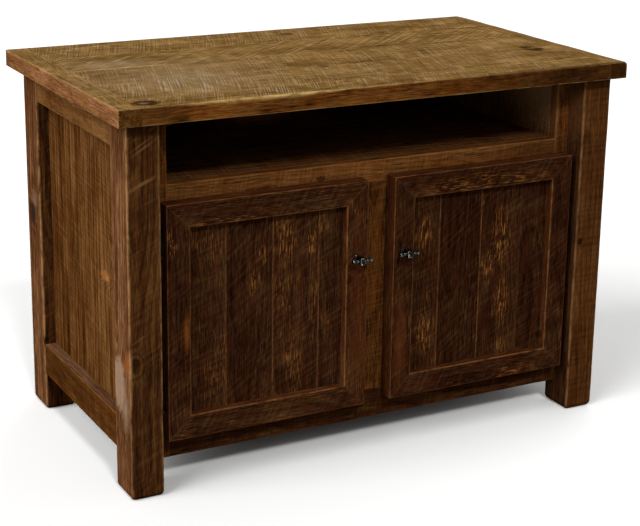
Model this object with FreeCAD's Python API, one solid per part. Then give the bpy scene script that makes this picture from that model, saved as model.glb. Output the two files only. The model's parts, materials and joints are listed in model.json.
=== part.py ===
"""Rustic media stand: plank top, four posts, boarded sides, an open bay over two mitred doors.

X runs to the right along the front, Y to the back and Z up. The origin is on the floor, under the
middle of the top. All sizes are in millimetres.
"""

import math
import os

import FreeCAD
import Part

# Tabletop: planks along X with a cross-grain end board at each end
top_width = 1067.0
top_depth = 610.0
top_thickness = 32.0
top_end_width = 44.0
top_front_plank_width = 70.0
top_plank_count = 5
top_corner_radius = 6.0
top_tongue_length = 18.0
top_tongue_thickness = 10.0
top_tongue_stop = 30.0

# Stance
overall_height = 730.0
side_overhang = 22.0
front_overhang = 24.0
back_overhang = 38.0

# Posts
leg_width = 63.0
leg_depth = 76.0
leg_edge_radius = 4.0
foot_chamfer = 7.0

# Side frames: rails between the posts, with a recessed panel of upright boards
side_rail_setback = 2.0
side_rail_floor_gap = 78.0
side_bottom_rail_height = 65.0
side_top_rail_height = 54.0
side_panel_recess = 22.0
side_board_thickness = 18.0
side_front_board_width = 125.0
side_board_count = 4
side_tongue_thickness = 8.0
side_tongue_length = 10.0

# Face frame, set back between the front posts
stile_width = 31.0
frame_thickness = 22.0
frame_floor_gap = 52.0
bottom_rail_height = 60.0
shelf_rail_height = 42.0
bay_height = 126.0

# Doors: mitred frames laid over the face frame, with boards held in a groove
door_setback = 9.0
door_thickness = 34.0
door_rear_gap = 3.0
door_leg_gap = 14.0
door_meeting_gap = 57.0
door_meeting_overlay = 13.5
door_bottom_reveal = 47.0
door_top_reveal = 28.0
door_member_width = 45.0
door_panel_recess = 16.0
door_board_thickness = 13.0
door_board_width = 95.0
door_board_engagement = 8.0
door_groove_spare = 1.0
left_door_board_shift = 12.0
right_door_board_shift = 3.0

# Inner box: lining on battens, bay shelf, cabinet floor and the cleats that carry them
lining_thickness = 18.0
lining_board_count = 4
batten_width = 40.0
shelf_thickness = 20.0
floor_thickness = 18.0
shelf_board_count = 3
cleat_width = 20.0
cleat_height = 25.0

# Back: boards against two rails, with a cable slot into the bay and one into the cabinet
back_rail_setback = 7.0
back_rail_thickness = 25.0
back_rail_height = 60.0
back_board_thickness = 18.0
back_board_count = 7
cable_slot_height = 50.0

# Joinery
tenon_length = 28.0
tenon_thickness = 12.0
tenon_shoulder = 10.0
stub_length = 14.0
stub_thickness = 8.0
stub_shoulder = 6.0
joint_clearance = 0.2
mortise_end_gap = 1.0
board_gap = 0.4

# Hinges, two to a door, let into the outer edge of the door
hinge_height = 50.0
hinge_end_distance = 75.0
hinge_edge_distance = 8.0
hinge_plate = 2.5
hinge_knuckle_radius = 5.0
hinge_knuckle_share = 0.4
hinge_pin_radius = 2.5
hinge_pin_clearance = 0.05
hinge_pin_head_radius = 3.5
hinge_pin_head = 1.5
hinge_play = 0.5
hinge_flange_width = 20.0
hinge_screw_spread = 30.0

# Knobs: a forged cross bar with a square boss, on a round stem
knob_above_door_bottom = 298.0
knob_base_radius = 8.5
knob_base_height = 3.0
knob_stem_radius = 4.5
knob_bar_reach = 19.0
knob_bar_length = 42.0
knob_bar_radius = 3.6
knob_flare_radius = 5.2
knob_flare_length = 6.0
knob_tip_length = 2.0
knob_tip_radius = 3.6
knob_boss_width = 12.0
knob_boss_height = 15.0
knob_boss_depth = 15.0
knob_boss_chamfer = 2.0
knob_screw_radius = 2.0
knob_screw_grip = 13.0
knob_screw_head_radius = 4.0
knob_screw_head_height = 2.4

# Magnetic catches under the shelf rail, with a strike plate on each door
catch_width = 40.0
catch_height = 13.0
catch_depth = 30.0
catch_from_stile = 30.0
catch_gap = 0.3
strike_thickness = 1.6

# Wood screws
screw_radius = 1.8
screw_head_radius = 3.8
screw_head_height = 2.0
screw_clearance = 0.15
hinge_screw_length = 15.0
top_screw_bite = 20.0
top_screw_count = 3
top_screw_end_margin = 80.0

# Heights
leg_top = overall_height - top_thickness
shelf_top = leg_top - bay_height
shelf_z = (shelf_top - shelf_thickness, shelf_top)
shelf_rail_z = (shelf_top - shelf_rail_height, shelf_top)
bottom_rail_z = (frame_floor_gap, frame_floor_gap + bottom_rail_height)
floor_z = (bottom_rail_z[1] - floor_thickness, bottom_rail_z[1])
door_z = (frame_floor_gap + door_bottom_reveal, shelf_top - door_top_reveal)
side_bottom_rail_z = (side_rail_floor_gap, side_rail_floor_gap + side_bottom_rail_height)
side_top_rail_z = (leg_top - side_top_rail_height, leg_top)
back_bottom_rail_z = (side_rail_floor_gap, side_rail_floor_gap + back_rail_height)
back_top_rail_z = (leg_top - back_rail_height, leg_top)

# Places along Y, from the front to the back
top_y = (-top_depth / 2, top_depth / 2)
legs_front = top_y[0] + front_overhang
legs_back = top_y[1] - back_overhang
front_leg_y = (legs_front, legs_front + leg_depth)
back_leg_y = (legs_back - leg_depth, legs_back)
between_legs_y = (front_leg_y[1], back_leg_y[0])
door_y = (legs_front + door_setback, legs_front + door_setback + door_thickness)
door_board_y = (door_y[0] + door_panel_recess, door_y[0] + door_panel_recess + door_board_thickness)
frame_y = (door_y[1] + door_rear_gap, door_y[1] + door_rear_gap + frame_thickness)
back_rail_y = (legs_back - back_rail_setback - back_rail_thickness, legs_back - back_rail_setback)
back_board_y = (back_rail_y[0] - back_board_thickness, back_rail_y[0])
inside_y = (frame_y[1], back_board_y[0])

# Places along X, on the right-hand side
top_x = (-top_width / 2, top_width / 2)
leg_x = (top_x[1] - side_overhang - leg_width, top_x[1] - side_overhang)
side_rail_outer = leg_x[1] - side_rail_setback
side_rail_x = (side_rail_outer - side_panel_recess - side_board_thickness, side_rail_outer)
side_board_x = (side_rail_x[0], side_rail_x[0] + side_board_thickness)
stile_x = (leg_x[0] - stile_width, leg_x[0])
lining_x = (stile_x[0], stile_x[0] + lining_thickness)
batten_x = (lining_x[1], leg_x[0])
cleat_x = (stile_x[0] - cleat_width, stile_x[0])
clear_x = (-stile_x[0], stile_x[0])
centre_stile_half = door_meeting_gap / 2 + door_meeting_overlay
door_x = (door_meeting_gap / 2, leg_x[0] - door_leg_gap)

# The pivot of the right-hand door, and the notch that its hinges lie in
pivot_x = door_x[1] - hinge_edge_distance
pivot_y = (door_y[0] + door_y[1]) / 2
hinge_leaf_x = (pivot_x - hinge_knuckle_radius - hinge_play - hinge_plate,
                pivot_x - hinge_knuckle_radius - hinge_play)
hinge_notch_front = pivot_y - hinge_knuckle_radius - 2 * hinge_play
hinge_middles = (door_z[0] + hinge_end_distance, door_z[1] - hinge_end_distance)

LEFT = -1
RIGHT = 1
SIDE_NAMES = {LEFT: "left", RIGHT: "right"}
UP = FreeCAD.Vector(0, 0, 1)
BACKWARD = FreeCAD.Vector(0, 1, 0)
RIGHTWARD = FreeCAD.Vector(1, 0, 0)


def block(x, y, z):
    """Box between the low and high value on each axis."""
    corner = FreeCAD.Vector(x[0], y[0], z[0])
    return Part.makeBox(x[1] - x[0], y[1] - y[0], z[1] - z[0], corner)


def rod(radius, start, direction, length):
    """Round bar from a start point along a direction."""
    return Part.makeCylinder(radius, length, start, direction)


def grown(span, amount):
    """Span made longer by an amount at both ends."""
    return (span[0] - amount, span[1] + amount)


def middle(span):
    """Middle of a span."""
    return (span[0] + span[1]) / 2


def around(centre, size):
    """Span of a size about its centre."""
    return (centre - size / 2, centre + size / 2)


def shares(span, count, gap):
    """Equal spans that fill a span, with a gap between neighbours."""
    step = (span[1] - span[0]) / count
    edges = [span[0] + step * index for index in range(count + 1)]
    return with_gaps(edges, gap)


def with_gaps(edges, gap):
    """Spans between successive edges, drawn in by half a gap at each inner edge."""
    lows = [edges[0]] + [edge + gap / 2 for edge in edges[1:-1]]
    highs = [edge - gap / 2 for edge in edges[1:-1]] + [edges[-1]]
    return list(zip(lows, highs))


def on_side(shape, side):
    """A right-hand shape as it is, or its mirror image for the left-hand side."""
    if side == RIGHT:
        return shape
    return shape.mirror(FreeCAD.Vector(0, 0, 0), RIGHTWARD)


def both_sides(shapes):
    """Right-hand shapes together with their mirror images."""
    return [on_side(shape, side) for side in (LEFT, RIGHT) for shape in shapes]


def edges_along(shape, direction):
    """Straight edges of a shape that run along a direction."""
    found = []
    for edge in shape.Edges:
        run = edge.Vertexes[-1].Point - edge.Vertexes[0].Point
        if run.Length > 0 and abs(abs(run.normalize().dot(direction)) - 1) < 1e-6:
            found.append(edge)
    return found


def wood_screw(seat, direction, length, clearance=0.0):
    """Countersunk screw with the top of its head at a seat, or its hole if a clearance is given."""
    head = Part.makeCone(screw_head_radius + clearance, screw_radius + clearance, screw_head_height,
                         seat, direction)
    shank = rod(screw_radius + clearance, seat, direction, length + clearance)
    return head.fuse(shank).removeSplitter()


def top_screws(clearance=0.0):
    """Screws up through the top cleats into the top, or their holes."""
    seat_z = leg_top - cleat_height
    places = shares(grown(inside_y, -top_screw_end_margin), top_screw_count - 1, 0)
    screw_y = [places[0][0]] + [place[1] for place in places]
    seats = [FreeCAD.Vector(middle(cleat_x), y, seat_z) for y in screw_y]
    return both_sides([wood_screw(seat, UP, cleat_height + top_screw_bite, clearance) for seat in seats])


def build_top():
    """Planks with a tongue at each end, and the two end boards that take the tongues."""
    plank_x = grown(top_x, -top_end_width)
    tongue_x = grown(plank_x, top_tongue_length)
    middle_z = leg_top + top_thickness / 2
    tongue_z = around(middle_z, top_tongue_thickness)
    tongue_y = grown(top_y, -top_tongue_stop)
    top_z = (leg_top, overall_height)
    holes = Part.makeCompound(top_screws(screw_clearance))
    front_edge = top_y[0] + top_front_plank_width
    spans = [(top_y[0], front_edge)] + shares((front_edge, top_y[1]), top_plank_count - 1, 0)
    pieces = {}
    for index, span in enumerate(spans, start=1):
        tongue_span = (max(span[0], tongue_y[0]), min(span[1], tongue_y[1]))
        plank = block(plank_x, span, top_z).fuse(block(tongue_x, tongue_span, tongue_z))
        pieces[f"top_plank_{index}"] = plank.removeSplitter().cut(holes)
    groove = block((plank_x[1] - mortise_end_gap, tongue_x[1] + mortise_end_gap),
                   grown(tongue_y, joint_clearance), grown(tongue_z, joint_clearance))
    end_board = block((plank_x[1], top_x[1]), top_y, top_z)
    corners = [edge for edge in edges_along(end_board, UP) if edge.Vertexes[0].X > plank_x[1] + 1]
    end_board = end_board.makeFillet(top_corner_radius, corners).cut(groove)
    for side in (LEFT, RIGHT):
        pieces[f"top_end_{SIDE_NAMES[side]}"] = on_side(end_board, side).cut(holes)
    return pieces


def rail_with_tenons(x, y, z, axis):
    """Rail with a tenon at each end, along X (axis 0) or Y (axis 1)."""
    thin = 1 - axis
    spans = [x, y]
    tenon = [None, None]
    tenon[axis] = grown(spans[axis], tenon_length)
    tenon[thin] = around(middle(spans[thin]), tenon_thickness)
    body = block(x, y, z)
    return body.fuse(block(tenon[0], tenon[1], grown(z, -tenon_shoulder))).removeSplitter()


def rail_mortises(x, y, z, axis):
    """Holes in the posts for the tenons of a rail."""
    thin = 1 - axis
    spans = [x, y]
    hole = [None, None]
    hole[axis] = grown(spans[axis], tenon_length + mortise_end_gap)
    hole[thin] = grown(around(middle(spans[thin]), tenon_thickness), joint_clearance)
    return block(hole[0], hole[1], grown(z, joint_clearance - tenon_shoulder))


SIDE_RAILS = {"bottom": side_bottom_rail_z, "top": side_top_rail_z}
BACK_RAILS = {"bottom": back_bottom_rail_z, "top": back_top_rail_z}
back_rail_x = (-leg_x[0], leg_x[0])


def build_legs():
    """Four posts with eased edges and feet, mortised for the rails."""
    mortises = [rail_mortises(side_rail_x, between_legs_y, z, 1) for z in SIDE_RAILS.values()]
    mortises += [rail_mortises(back_rail_x, back_rail_y, z, 0) for z in BACK_RAILS.values()]
    pieces = {}
    for place, leg_y in (("front", front_leg_y), ("back", back_leg_y)):
        post = block(leg_x, leg_y, (0, leg_top))
        foot_edges = [edge for edge in post.Edges if edge.BoundBox.ZMax < foot_chamfer]
        footed = post.makeChamfer(foot_chamfer, foot_edges)
        eased = post.makeFillet(leg_edge_radius, edges_along(post, UP))
        leg = eased.common(footed)
        for mortise in mortises:
            leg = leg.cut(mortise)
        for side in (LEFT, RIGHT):
            pieces[f"leg_{place}_{SIDE_NAMES[side]}"] = on_side(leg, side)
    return pieces


def build_sides():
    """Side rails, and the upright boards whose tongues sit in the rails."""
    board_z = (side_bottom_rail_z[1], side_top_rail_z[0])
    tongue_x = around(middle(side_board_x), side_tongue_thickness)
    tongue_z = grown(board_z, side_tongue_length)
    groove = block(grown(tongue_x, joint_clearance), between_legs_y, grown(tongue_z, mortise_end_gap))
    front_joint = between_legs_y[0] + side_front_board_width
    rest = [front_joint + (between_legs_y[1] - front_joint) * index / (side_board_count - 1)
            for index in range(side_board_count)]
    boards = []
    for span in with_gaps([between_legs_y[0]] + rest, board_gap):
        board = block(side_board_x, span, board_z).fuse(block(tongue_x, span, tongue_z))
        boards.append(board.removeSplitter())
    pieces = {}
    for side in (LEFT, RIGHT):
        name = SIDE_NAMES[side]
        for place, z in SIDE_RAILS.items():
            rail = rail_with_tenons(side_rail_x, between_legs_y, z, 1).cut(groove)
            pieces[f"side_{place}_rail_{name}"] = on_side(rail, side)
        pieces[f"side_panel_{name}"] = Part.makeCompound([on_side(board, side) for board in boards])
    return pieces


def hinge_flange(clearance):
    """Seat of each hinge's frame leaf in the right-hand stile, let in flush."""
    flange_x = (pivot_x - hinge_plate / 2, pivot_x - hinge_plate / 2 + hinge_flange_width)
    return [block(grown(flange_x, clearance), (frame_y[0], frame_y[0] + hinge_plate),
                  grown(around(z, hinge_height), clearance)) for z in hinge_middles]


def frame_hinge_screws(clearance=0.0):
    """Screws through the frame leaves into the right-hand stile, or their holes."""
    screw_x = pivot_x + hinge_flange_width / 2
    seats = [FreeCAD.Vector(screw_x, frame_y[0], z + offset) for z in hinge_middles
             for offset in around(0, hinge_screw_spread)]
    return [wood_screw(seat, BACKWARD, hinge_screw_length, clearance) for seat in seats]


def door_hinge_screws(clearance=0.0):
    """Screws through the door leaves into the right-hand door's outer stile, or their holes."""
    screw_y = (pivot_y + hinge_knuckle_radius + door_y[1]) / 2
    seats = [FreeCAD.Vector(hinge_leaf_x[1], screw_y, z + offset) for z in hinge_middles
             for offset in around(0, hinge_screw_spread)]
    return [wood_screw(seat, -RIGHTWARD, hinge_screw_length, clearance) for seat in seats]


def build_face_frame():
    """Stiles and rails of the face frame, stub-tenoned together."""
    stub_y = around(middle(frame_y), stub_thickness)
    hole_y = grown(stub_y, joint_clearance)
    reach = stub_length + mortise_end_gap
    stile = block(stile_x, frame_y, (frame_floor_gap, leg_top))
    rails = {}
    for name, z in (("shelf_rail", shelf_rail_z), ("bottom_rail", bottom_rail_z)):
        stub_z = grown(z, -stub_shoulder)
        stubs = block(grown(clear_x, stub_length), stub_y, stub_z)
        rails[name] = block(clear_x, frame_y, z).fuse(stubs).removeSplitter()
        stile = stile.cut(block(grown(clear_x, reach), hole_y, grown(stub_z, joint_clearance)))
    for seat in hinge_flange(joint_clearance):
        stile = stile.cut(seat)
    stile = stile.cut(Part.makeCompound(frame_hinge_screws(screw_clearance)))
    centre_x = (-centre_stile_half, centre_stile_half)
    centre_z = (bottom_rail_z[1], shelf_rail_z[0])
    stub_x = grown(centre_x, -stub_shoulder)
    centre = block(centre_x, frame_y, centre_z)
    centre = centre.fuse(block(stub_x, stub_y, grown(centre_z, stub_length))).removeSplitter()
    centre_hole = block(grown(stub_x, joint_clearance), hole_y, grown(centre_z, reach))
    pieces = {name: rail.cut(centre_hole) for name, rail in rails.items()}
    pieces["centre_stile"] = centre
    for side in (LEFT, RIGHT):
        pieces[f"{SIDE_NAMES[side]}_stile"] = on_side(stile, side)
    return pieces


def build_inner_box():
    """Lining boards on battens, bay shelf, cabinet floor, and the cleats under them and the top."""
    full_z = (frame_floor_gap, leg_top)
    lining = [block(lining_x, span, full_z) for span in shares(inside_y, lining_board_count, board_gap)]
    batten_spans = ((inside_y[0], inside_y[0] + batten_width), (inside_y[1] - batten_width, inside_y[1]))
    battens = [block(batten_x, span, full_z) for span in batten_spans]
    planks = shares(inside_y, shelf_board_count, board_gap)
    cleat_tops = (floor_z[0], shelf_z[0], leg_top)
    cleats = [block(cleat_x, inside_y, (top - cleat_height, top)) for top in cleat_tops]
    holes = Part.makeCompound(top_screws(screw_clearance))
    return {
        "lining_boards": Part.makeCompound(both_sides(lining)),
        "lining_battens": Part.makeCompound(both_sides(battens)),
        "shelf_boards": Part.makeCompound([block(clear_x, span, shelf_z) for span in planks]),
        "floor_boards": Part.makeCompound([block(clear_x, span, floor_z) for span in planks]),
        "cleats": Part.makeCompound([cleat.cut(holes) for cleat in both_sides(cleats)]),
        "top_screws": Part.makeCompound(top_screws()),
    }


def build_back():
    """Back rails, and upright boards whose middle one is broken by two cable slots."""
    rails = [rail_with_tenons(back_rail_x, back_rail_y, z, 0) for z in BACK_RAILS.values()]
    full_z = (side_rail_floor_gap, leg_top)
    slots = [(back_bottom_rail_z[1], back_bottom_rail_z[1] + cable_slot_height),
             (shelf_top, shelf_top + cable_slot_height)]
    lengths = [(full_z[0], slots[0][0]), (slots[0][1], slots[1][0]), (slots[1][1], full_z[1])]
    spans = shares(back_rail_x, back_board_count, board_gap)
    boards = []
    for index, span in enumerate(spans):
        is_middle = index == back_board_count // 2
        for z in lengths if is_middle else [full_z]:
            boards.append(block(span, back_board_y, z))
    return {"back_rails": Part.makeCompound(rails), "back_boards": Part.makeCompound(boards)}


def mitred_member(corners):
    """Door frame member from its outline in the XZ plane, as thick as the door."""
    points = [FreeCAD.Vector(x, door_y[0], z) for x, z in corners]
    outline = Part.makePolygon(points + points[:1])
    return Part.Face(outline).extrude(BACKWARD * door_thickness)


def door_frame():
    """Mitred members of the right-hand door, by name, grooved for the boards."""
    x_in, x_out = door_x
    z_low, z_high = door_z
    hole_x = grown(door_x, -door_member_width)
    hole_z = grown(door_z, -door_member_width)
    members = {
        "hinge_stile": mitred_member([(x_out, z_low), (x_out, z_high), (hole_x[1], hole_z[1]),
                                      (hole_x[1], hole_z[0])]),
        "meeting_stile": mitred_member([(x_in, z_low), (hole_x[0], hole_z[0]), (hole_x[0], hole_z[1]),
                                        (x_in, z_high)]),
        "top_rail": mitred_member([(x_in, z_high), (hole_x[0], hole_z[1]), (hole_x[1], hole_z[1]),
                                   (x_out, z_high)]),
        "bottom_rail": mitred_member([(x_in, z_low), (x_out, z_low), (hole_x[1], hole_z[0]),
                                      (hole_x[0], hole_z[0])]),
    }
    depth = door_board_engagement + door_groove_spare
    groove = block(grown(hole_x, depth), grown(door_board_y, joint_clearance), grown(hole_z, depth))
    members = {name: member.cut(groove) for name, member in members.items()}
    notch_height = hinge_height + 2 * (hinge_pin_head + hinge_play)
    for z in hinge_middles:
        notch = block((hinge_leaf_x[0], x_out), (hinge_notch_front, door_y[1]), around(z, notch_height))
        members["hinge_stile"] = members["hinge_stile"].cut(notch)
    for hole in door_hinge_screws(screw_clearance):
        members["hinge_stile"] = members["hinge_stile"].cut(hole)
    hole = rod(knob_screw_radius + screw_clearance, knob_foot(), BACKWARD, door_thickness)
    members["meeting_stile"] = members["meeting_stile"].cut(hole)
    return members


def door_boards(side):
    """Upright boards of one door, from left to right, held in its groove."""
    opening = grown(door_x, -door_member_width)
    if side == LEFT:
        opening = (-opening[1], -opening[0])
    shift = left_door_board_shift if side == LEFT else right_door_board_shift
    centre = middle(opening) + shift
    edges = [opening[0] - door_board_engagement, centre - door_board_width, centre,
             centre + door_board_width, opening[1] + door_board_engagement]
    board_z = grown(door_z, door_board_engagement - door_member_width)
    return [block(span, door_board_y, board_z) for span in with_gaps(edges, board_gap)]


def knob_foot():
    """Middle of the right-hand knob's foot, on the face of the meeting stile."""
    return FreeCAD.Vector(door_x[0] + door_member_width / 2, door_y[0], door_z[0] + knob_above_door_bottom)


def build_knob():
    """Right-hand knob, bored for its screw, and the screw with its head inside the door."""
    foot = knob_foot()
    centre = foot - BACKWARD * knob_bar_reach
    base = Part.makeCone(knob_base_radius, knob_stem_radius, knob_base_height, foot, -BACKWARD)
    knob = base.fuse(rod(knob_stem_radius, foot, -BACKWARD, knob_bar_reach))
    boss = block(around(centre.x, knob_boss_width), around(centre.y, knob_boss_depth),
                 around(centre.z, knob_boss_height))
    knob = knob.fuse(boss.makeChamfer(knob_boss_chamfer, boss.Edges))
    neck = knob_bar_length / 2 - knob_flare_length - knob_tip_length
    for direction in (RIGHTWARD, -RIGHTWARD):
        flare_start = centre + direction * neck
        tip_start = flare_start + direction * knob_flare_length
        knob = knob.fuse(rod(knob_bar_radius, centre, direction, neck))
        knob = knob.fuse(Part.makeCone(knob_bar_radius, knob_flare_radius, knob_flare_length,
                                       flare_start, direction))
        knob = knob.fuse(Part.makeCone(knob_flare_radius, knob_tip_radius, knob_tip_length,
                                       tip_start, direction))
    knob = knob.removeSplitter()
    knob = knob.cut(rod(knob_screw_radius + screw_clearance, foot, -BACKWARD, knob_screw_grip))
    inner_face = foot + BACKWARD * door_thickness
    screw = rod(knob_screw_radius, inner_face, -BACKWARD, door_thickness + knob_screw_grip - screw_clearance)
    head = rod(knob_screw_head_radius, inner_face, BACKWARD, knob_screw_head_height)
    return knob, screw.fuse(head).removeSplitter()


def build_hinges():
    """Door leaves, frame leaves and pins of the right-hand door's two hinges."""
    frame_seats = hinge_flange(0.0)
    door_leaves, frame_leaves, pins = [], [], []
    for z, seat in zip(hinge_middles, frame_seats):
        full_z = around(z, hinge_height)
        door_knuckle_z = around(z, hinge_height * hinge_knuckle_share)
        low = FreeCAD.Vector(pivot_x, pivot_y, full_z[0])
        bore = rod(hinge_pin_radius + hinge_pin_clearance, low, UP, hinge_height)
        knuckle_low = FreeCAD.Vector(pivot_x, pivot_y, door_knuckle_z[0])
        knuckle = rod(hinge_knuckle_radius, knuckle_low, UP, door_knuckle_z[1] - door_knuckle_z[0])
        web = block((hinge_leaf_x[1], pivot_x), around(pivot_y, hinge_knuckle_radius), door_knuckle_z)
        plate = block(hinge_leaf_x, (hinge_notch_front, door_y[1]), full_z)
        door_leaf = plate.fuse(web).fuse(knuckle).removeSplitter().cut(bore)
        door_leaves.append(door_leaf.cut(Part.makeCompound(door_hinge_screws(screw_clearance))))
        arm = block(around(pivot_x, hinge_plate), (pivot_y, frame_y[0]), full_z)
        barrel = rod(hinge_knuckle_radius, low, UP, hinge_height)
        gap_z = grown(door_knuckle_z, hinge_play)
        gap_low = FreeCAD.Vector(pivot_x, pivot_y, gap_z[0])
        gap = rod(hinge_knuckle_radius + hinge_play, gap_low, UP, gap_z[1] - gap_z[0])
        frame_leaf = seat.fuse(arm).fuse(barrel).removeSplitter().cut(gap).cut(bore)
        frame_leaves.append(frame_leaf.cut(Part.makeCompound(frame_hinge_screws(screw_clearance))))
        pin = rod(hinge_pin_radius, low, UP, hinge_height)
        head_starts = (full_z[0] - hinge_pin_head, full_z[1])
        for start in head_starts:
            head_low = FreeCAD.Vector(pivot_x, pivot_y, start)
            pin = pin.fuse(rod(hinge_pin_head_radius, head_low, UP, hinge_pin_head))
        pins.append(pin.removeSplitter())
    return door_leaves, frame_leaves, pins


def build_catch():
    """Right-hand magnet under the shelf rail, and the strike plate on the door."""
    catch_x = (centre_stile_half + catch_from_stile, centre_stile_half + catch_from_stile + catch_width)
    catch_z = (shelf_rail_z[0] - catch_height, shelf_rail_z[0])
    strike_y = (door_y[1], door_y[1] + strike_thickness)
    magnet_front = strike_y[1] + catch_gap
    magnet = block(catch_x, (magnet_front, magnet_front + catch_depth), catch_z)
    return magnet, block(catch_x, strike_y, catch_z)


def build_doors_and_hardware():
    """Both doors with their knobs, hinges, catches and screws."""
    door_leaves, frame_leaves, pins = build_hinges()
    knob, knob_screw = build_knob()
    magnet, strike = build_catch()
    members = door_frame()
    pieces = {
        "frame_hinge_leaves": Part.makeCompound(both_sides(frame_leaves)),
        "frame_hinge_screws": Part.makeCompound(both_sides(frame_hinge_screws())),
        "hinge_pins": Part.makeCompound(both_sides(pins)),
        "catch_magnets": Part.makeCompound(both_sides([magnet])),
    }
    for side in (LEFT, RIGHT):
        door = f"{SIDE_NAMES[side]}_door"
        for name, member in members.items():
            pieces[f"{door}_{name}"] = on_side(member, side)
        for index, board in enumerate(door_boards(side), start=1):
            pieces[f"{door}_board_{index}"] = board
        leaves = [on_side(leaf, side) for leaf in door_leaves]
        screws = [on_side(screw, side) for screw in door_hinge_screws()]
        pieces[f"{door}_hinge_leaves"] = Part.makeCompound(leaves)
        pieces[f"{door}_hinge_screws"] = Part.makeCompound(screws)
        pieces[f"{door}_knob"] = on_side(knob, side)
        pieces[f"{door}_knob_screw"] = on_side(knob_screw, side)
        pieces[f"{door}_strike"] = on_side(strike, side)
    return pieces


def main():
    """Build every piece and write one file for each."""
    os.makedirs("parts", exist_ok=True)
    builders = (build_top, build_legs, build_sides, build_face_frame, build_inner_box, build_back,
                build_doors_and_hardware)
    for builder in builders:
        for name, shape in builder().items():
            shape.exportStep(f"parts/{name}.step")
            print(f"{name}: {len(shape.Solids)} solid(s), {shape.Volume / 1000:.1f} cm3")
    swing_radius = math.hypot(hinge_edge_distance, door_thickness / 2)
    print(f"door corner passes {frame_y[0] - pivot_y - swing_radius:.2f} mm from the face frame")


main()
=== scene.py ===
"""Looks of a rustic media stand: rough-sawn stained pine boards, forged iron knobs, steel fittings."""

import json
import logging
import math
import random
from dataclasses import dataclass, field, replace
from enum import Enum
from itertools import permutations
from typing import Optional, Sequence, Union

import bmesh
import bpy
from mathutils import Matrix, Vector, noise


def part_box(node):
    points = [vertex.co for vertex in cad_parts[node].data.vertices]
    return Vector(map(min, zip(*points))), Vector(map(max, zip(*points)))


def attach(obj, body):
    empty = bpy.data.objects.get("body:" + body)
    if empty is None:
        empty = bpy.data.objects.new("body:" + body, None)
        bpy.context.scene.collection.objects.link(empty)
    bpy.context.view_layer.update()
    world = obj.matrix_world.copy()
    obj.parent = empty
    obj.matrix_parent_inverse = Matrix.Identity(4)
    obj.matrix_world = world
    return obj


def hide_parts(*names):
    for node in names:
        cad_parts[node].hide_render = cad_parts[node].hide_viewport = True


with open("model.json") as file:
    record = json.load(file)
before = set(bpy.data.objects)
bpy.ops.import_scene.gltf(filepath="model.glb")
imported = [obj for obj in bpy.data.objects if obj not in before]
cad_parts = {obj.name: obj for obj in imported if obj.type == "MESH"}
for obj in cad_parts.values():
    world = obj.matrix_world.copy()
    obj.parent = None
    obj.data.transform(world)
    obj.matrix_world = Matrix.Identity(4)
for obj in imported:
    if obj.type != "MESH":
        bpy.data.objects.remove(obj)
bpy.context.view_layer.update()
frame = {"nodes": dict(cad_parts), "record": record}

MM = 0.001
LOG = logging.getLogger("media_stand")
SLOT_OF = {part["node"]: part["material_slot"] for part in frame["record"]["subparts"]}
BODY_OF = {node: body for body, nodes in frame["record"]["behaviour"]["bodies"].items() for node in nodes}

Box = tuple[Vector, Vector]
Colour = tuple[float, float, float, float]
Place = tuple[float, float, float]
Sides = tuple[float, float, float, float]
Socket = bpy.types.NodeSocket
Tree = bpy.types.NodeTree
Input = Union[float, Sequence[float], Socket]


class Axis(Enum):
    """Directions of the shared frame."""

    X = 0
    Y = 1
    Z = 2


class Hand(Enum):
    """The two halves of the stand, by the sign of X."""

    LEFT = -1
    RIGHT = 1

    @property
    def word(self) -> str:
        """Name of the half as the frame's nodes spell it."""
        return self.name.lower()


def linear(hex_colour: str) -> Colour:
    """Turn an sRGB hex colour into the linear colour that shaders take.

    Args:
        hex_colour: Colour as "#rrggbb".

    Returns:
        Linear red, green and blue, with an alpha of 1.
    """
    shares = [int(hex_colour[start:start + 2], 16) / 255 for start in (1, 3, 5)]
    red, green, blue = (s / 12.92 if s <= 0.04045 else ((s + 0.055) / 1.055) ** 2.4 for s in shares)
    return red, green, blue, 1.0


def add(tree: Tree, kind: str, inputs: Optional[dict[Union[int, str], Input]] = None,
        out: Union[int, str] = 0, **settings: object) -> Optional[Socket]:
    """Add one shader node with its settings and links.

    Args:
        tree: Node tree that takes the node.
        kind: Node type, without its "ShaderNode" prefix.
        inputs: Values or sockets for the node's inputs, by name or place.
        out: Name or place of the output that is wanted.
        **settings: Properties of the node.

    Returns:
        The wanted output, or None for a node without outputs.
    """
    node = tree.nodes.new("ShaderNode" + kind)
    for name, value in settings.items():
        setattr(node, name, value)
    for key, value in (inputs or {}).items():
        if isinstance(value, Socket):
            tree.links.new(value, node.inputs[key])
        else:
            node.inputs[key].default_value = value
    return node.outputs[out] if node.outputs else None


def new_material(name: str) -> tuple[bpy.types.Material, Tree]:
    """Make an empty node material.

    Args:
        name: The material's name.

    Returns:
        The material and its empty node tree.
    """
    material = bpy.data.materials.new(name)
    material.use_nodes = True
    material.node_tree.nodes.clear()
    return material, material.node_tree


def per_mm(along: float, across: float) -> Place:
    """Scale for a pattern whose features are this long and wide, in millimetres."""
    return 1 / along, 1 / across, 1 / across


@dataclass(frozen=True)
class Tones:
    """Stain on one kind of face, as hex colours.

    Attributes:
        pore: Late wood and pores, where the stain is darkest.
        body: Most of the surface.
        light: Early wood that took least stain.
    """

    pore: str
    body: str
    light: str


@dataclass(frozen=True)
class Spot:
    """A knot, a patch that took the stain unevenly, a patch of painted light or shade, or a zone of the
    surface.

    Attributes:
        centre: Place in the frame, in millimetres.
        reach: Half-sizes along the frame's axes, in millimetres.
        colour: Hex colour of its heart; empty for a zone, which has no colour of its own.
        strength: How far the heart turns to that colour, or how strong the zone is.
        bends: Whether the rings flow round it, as they do round a knot.
    """

    centre: Place
    reach: Place
    colour: str = ""
    strength: float = 0.75
    bends: bool = True


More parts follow.
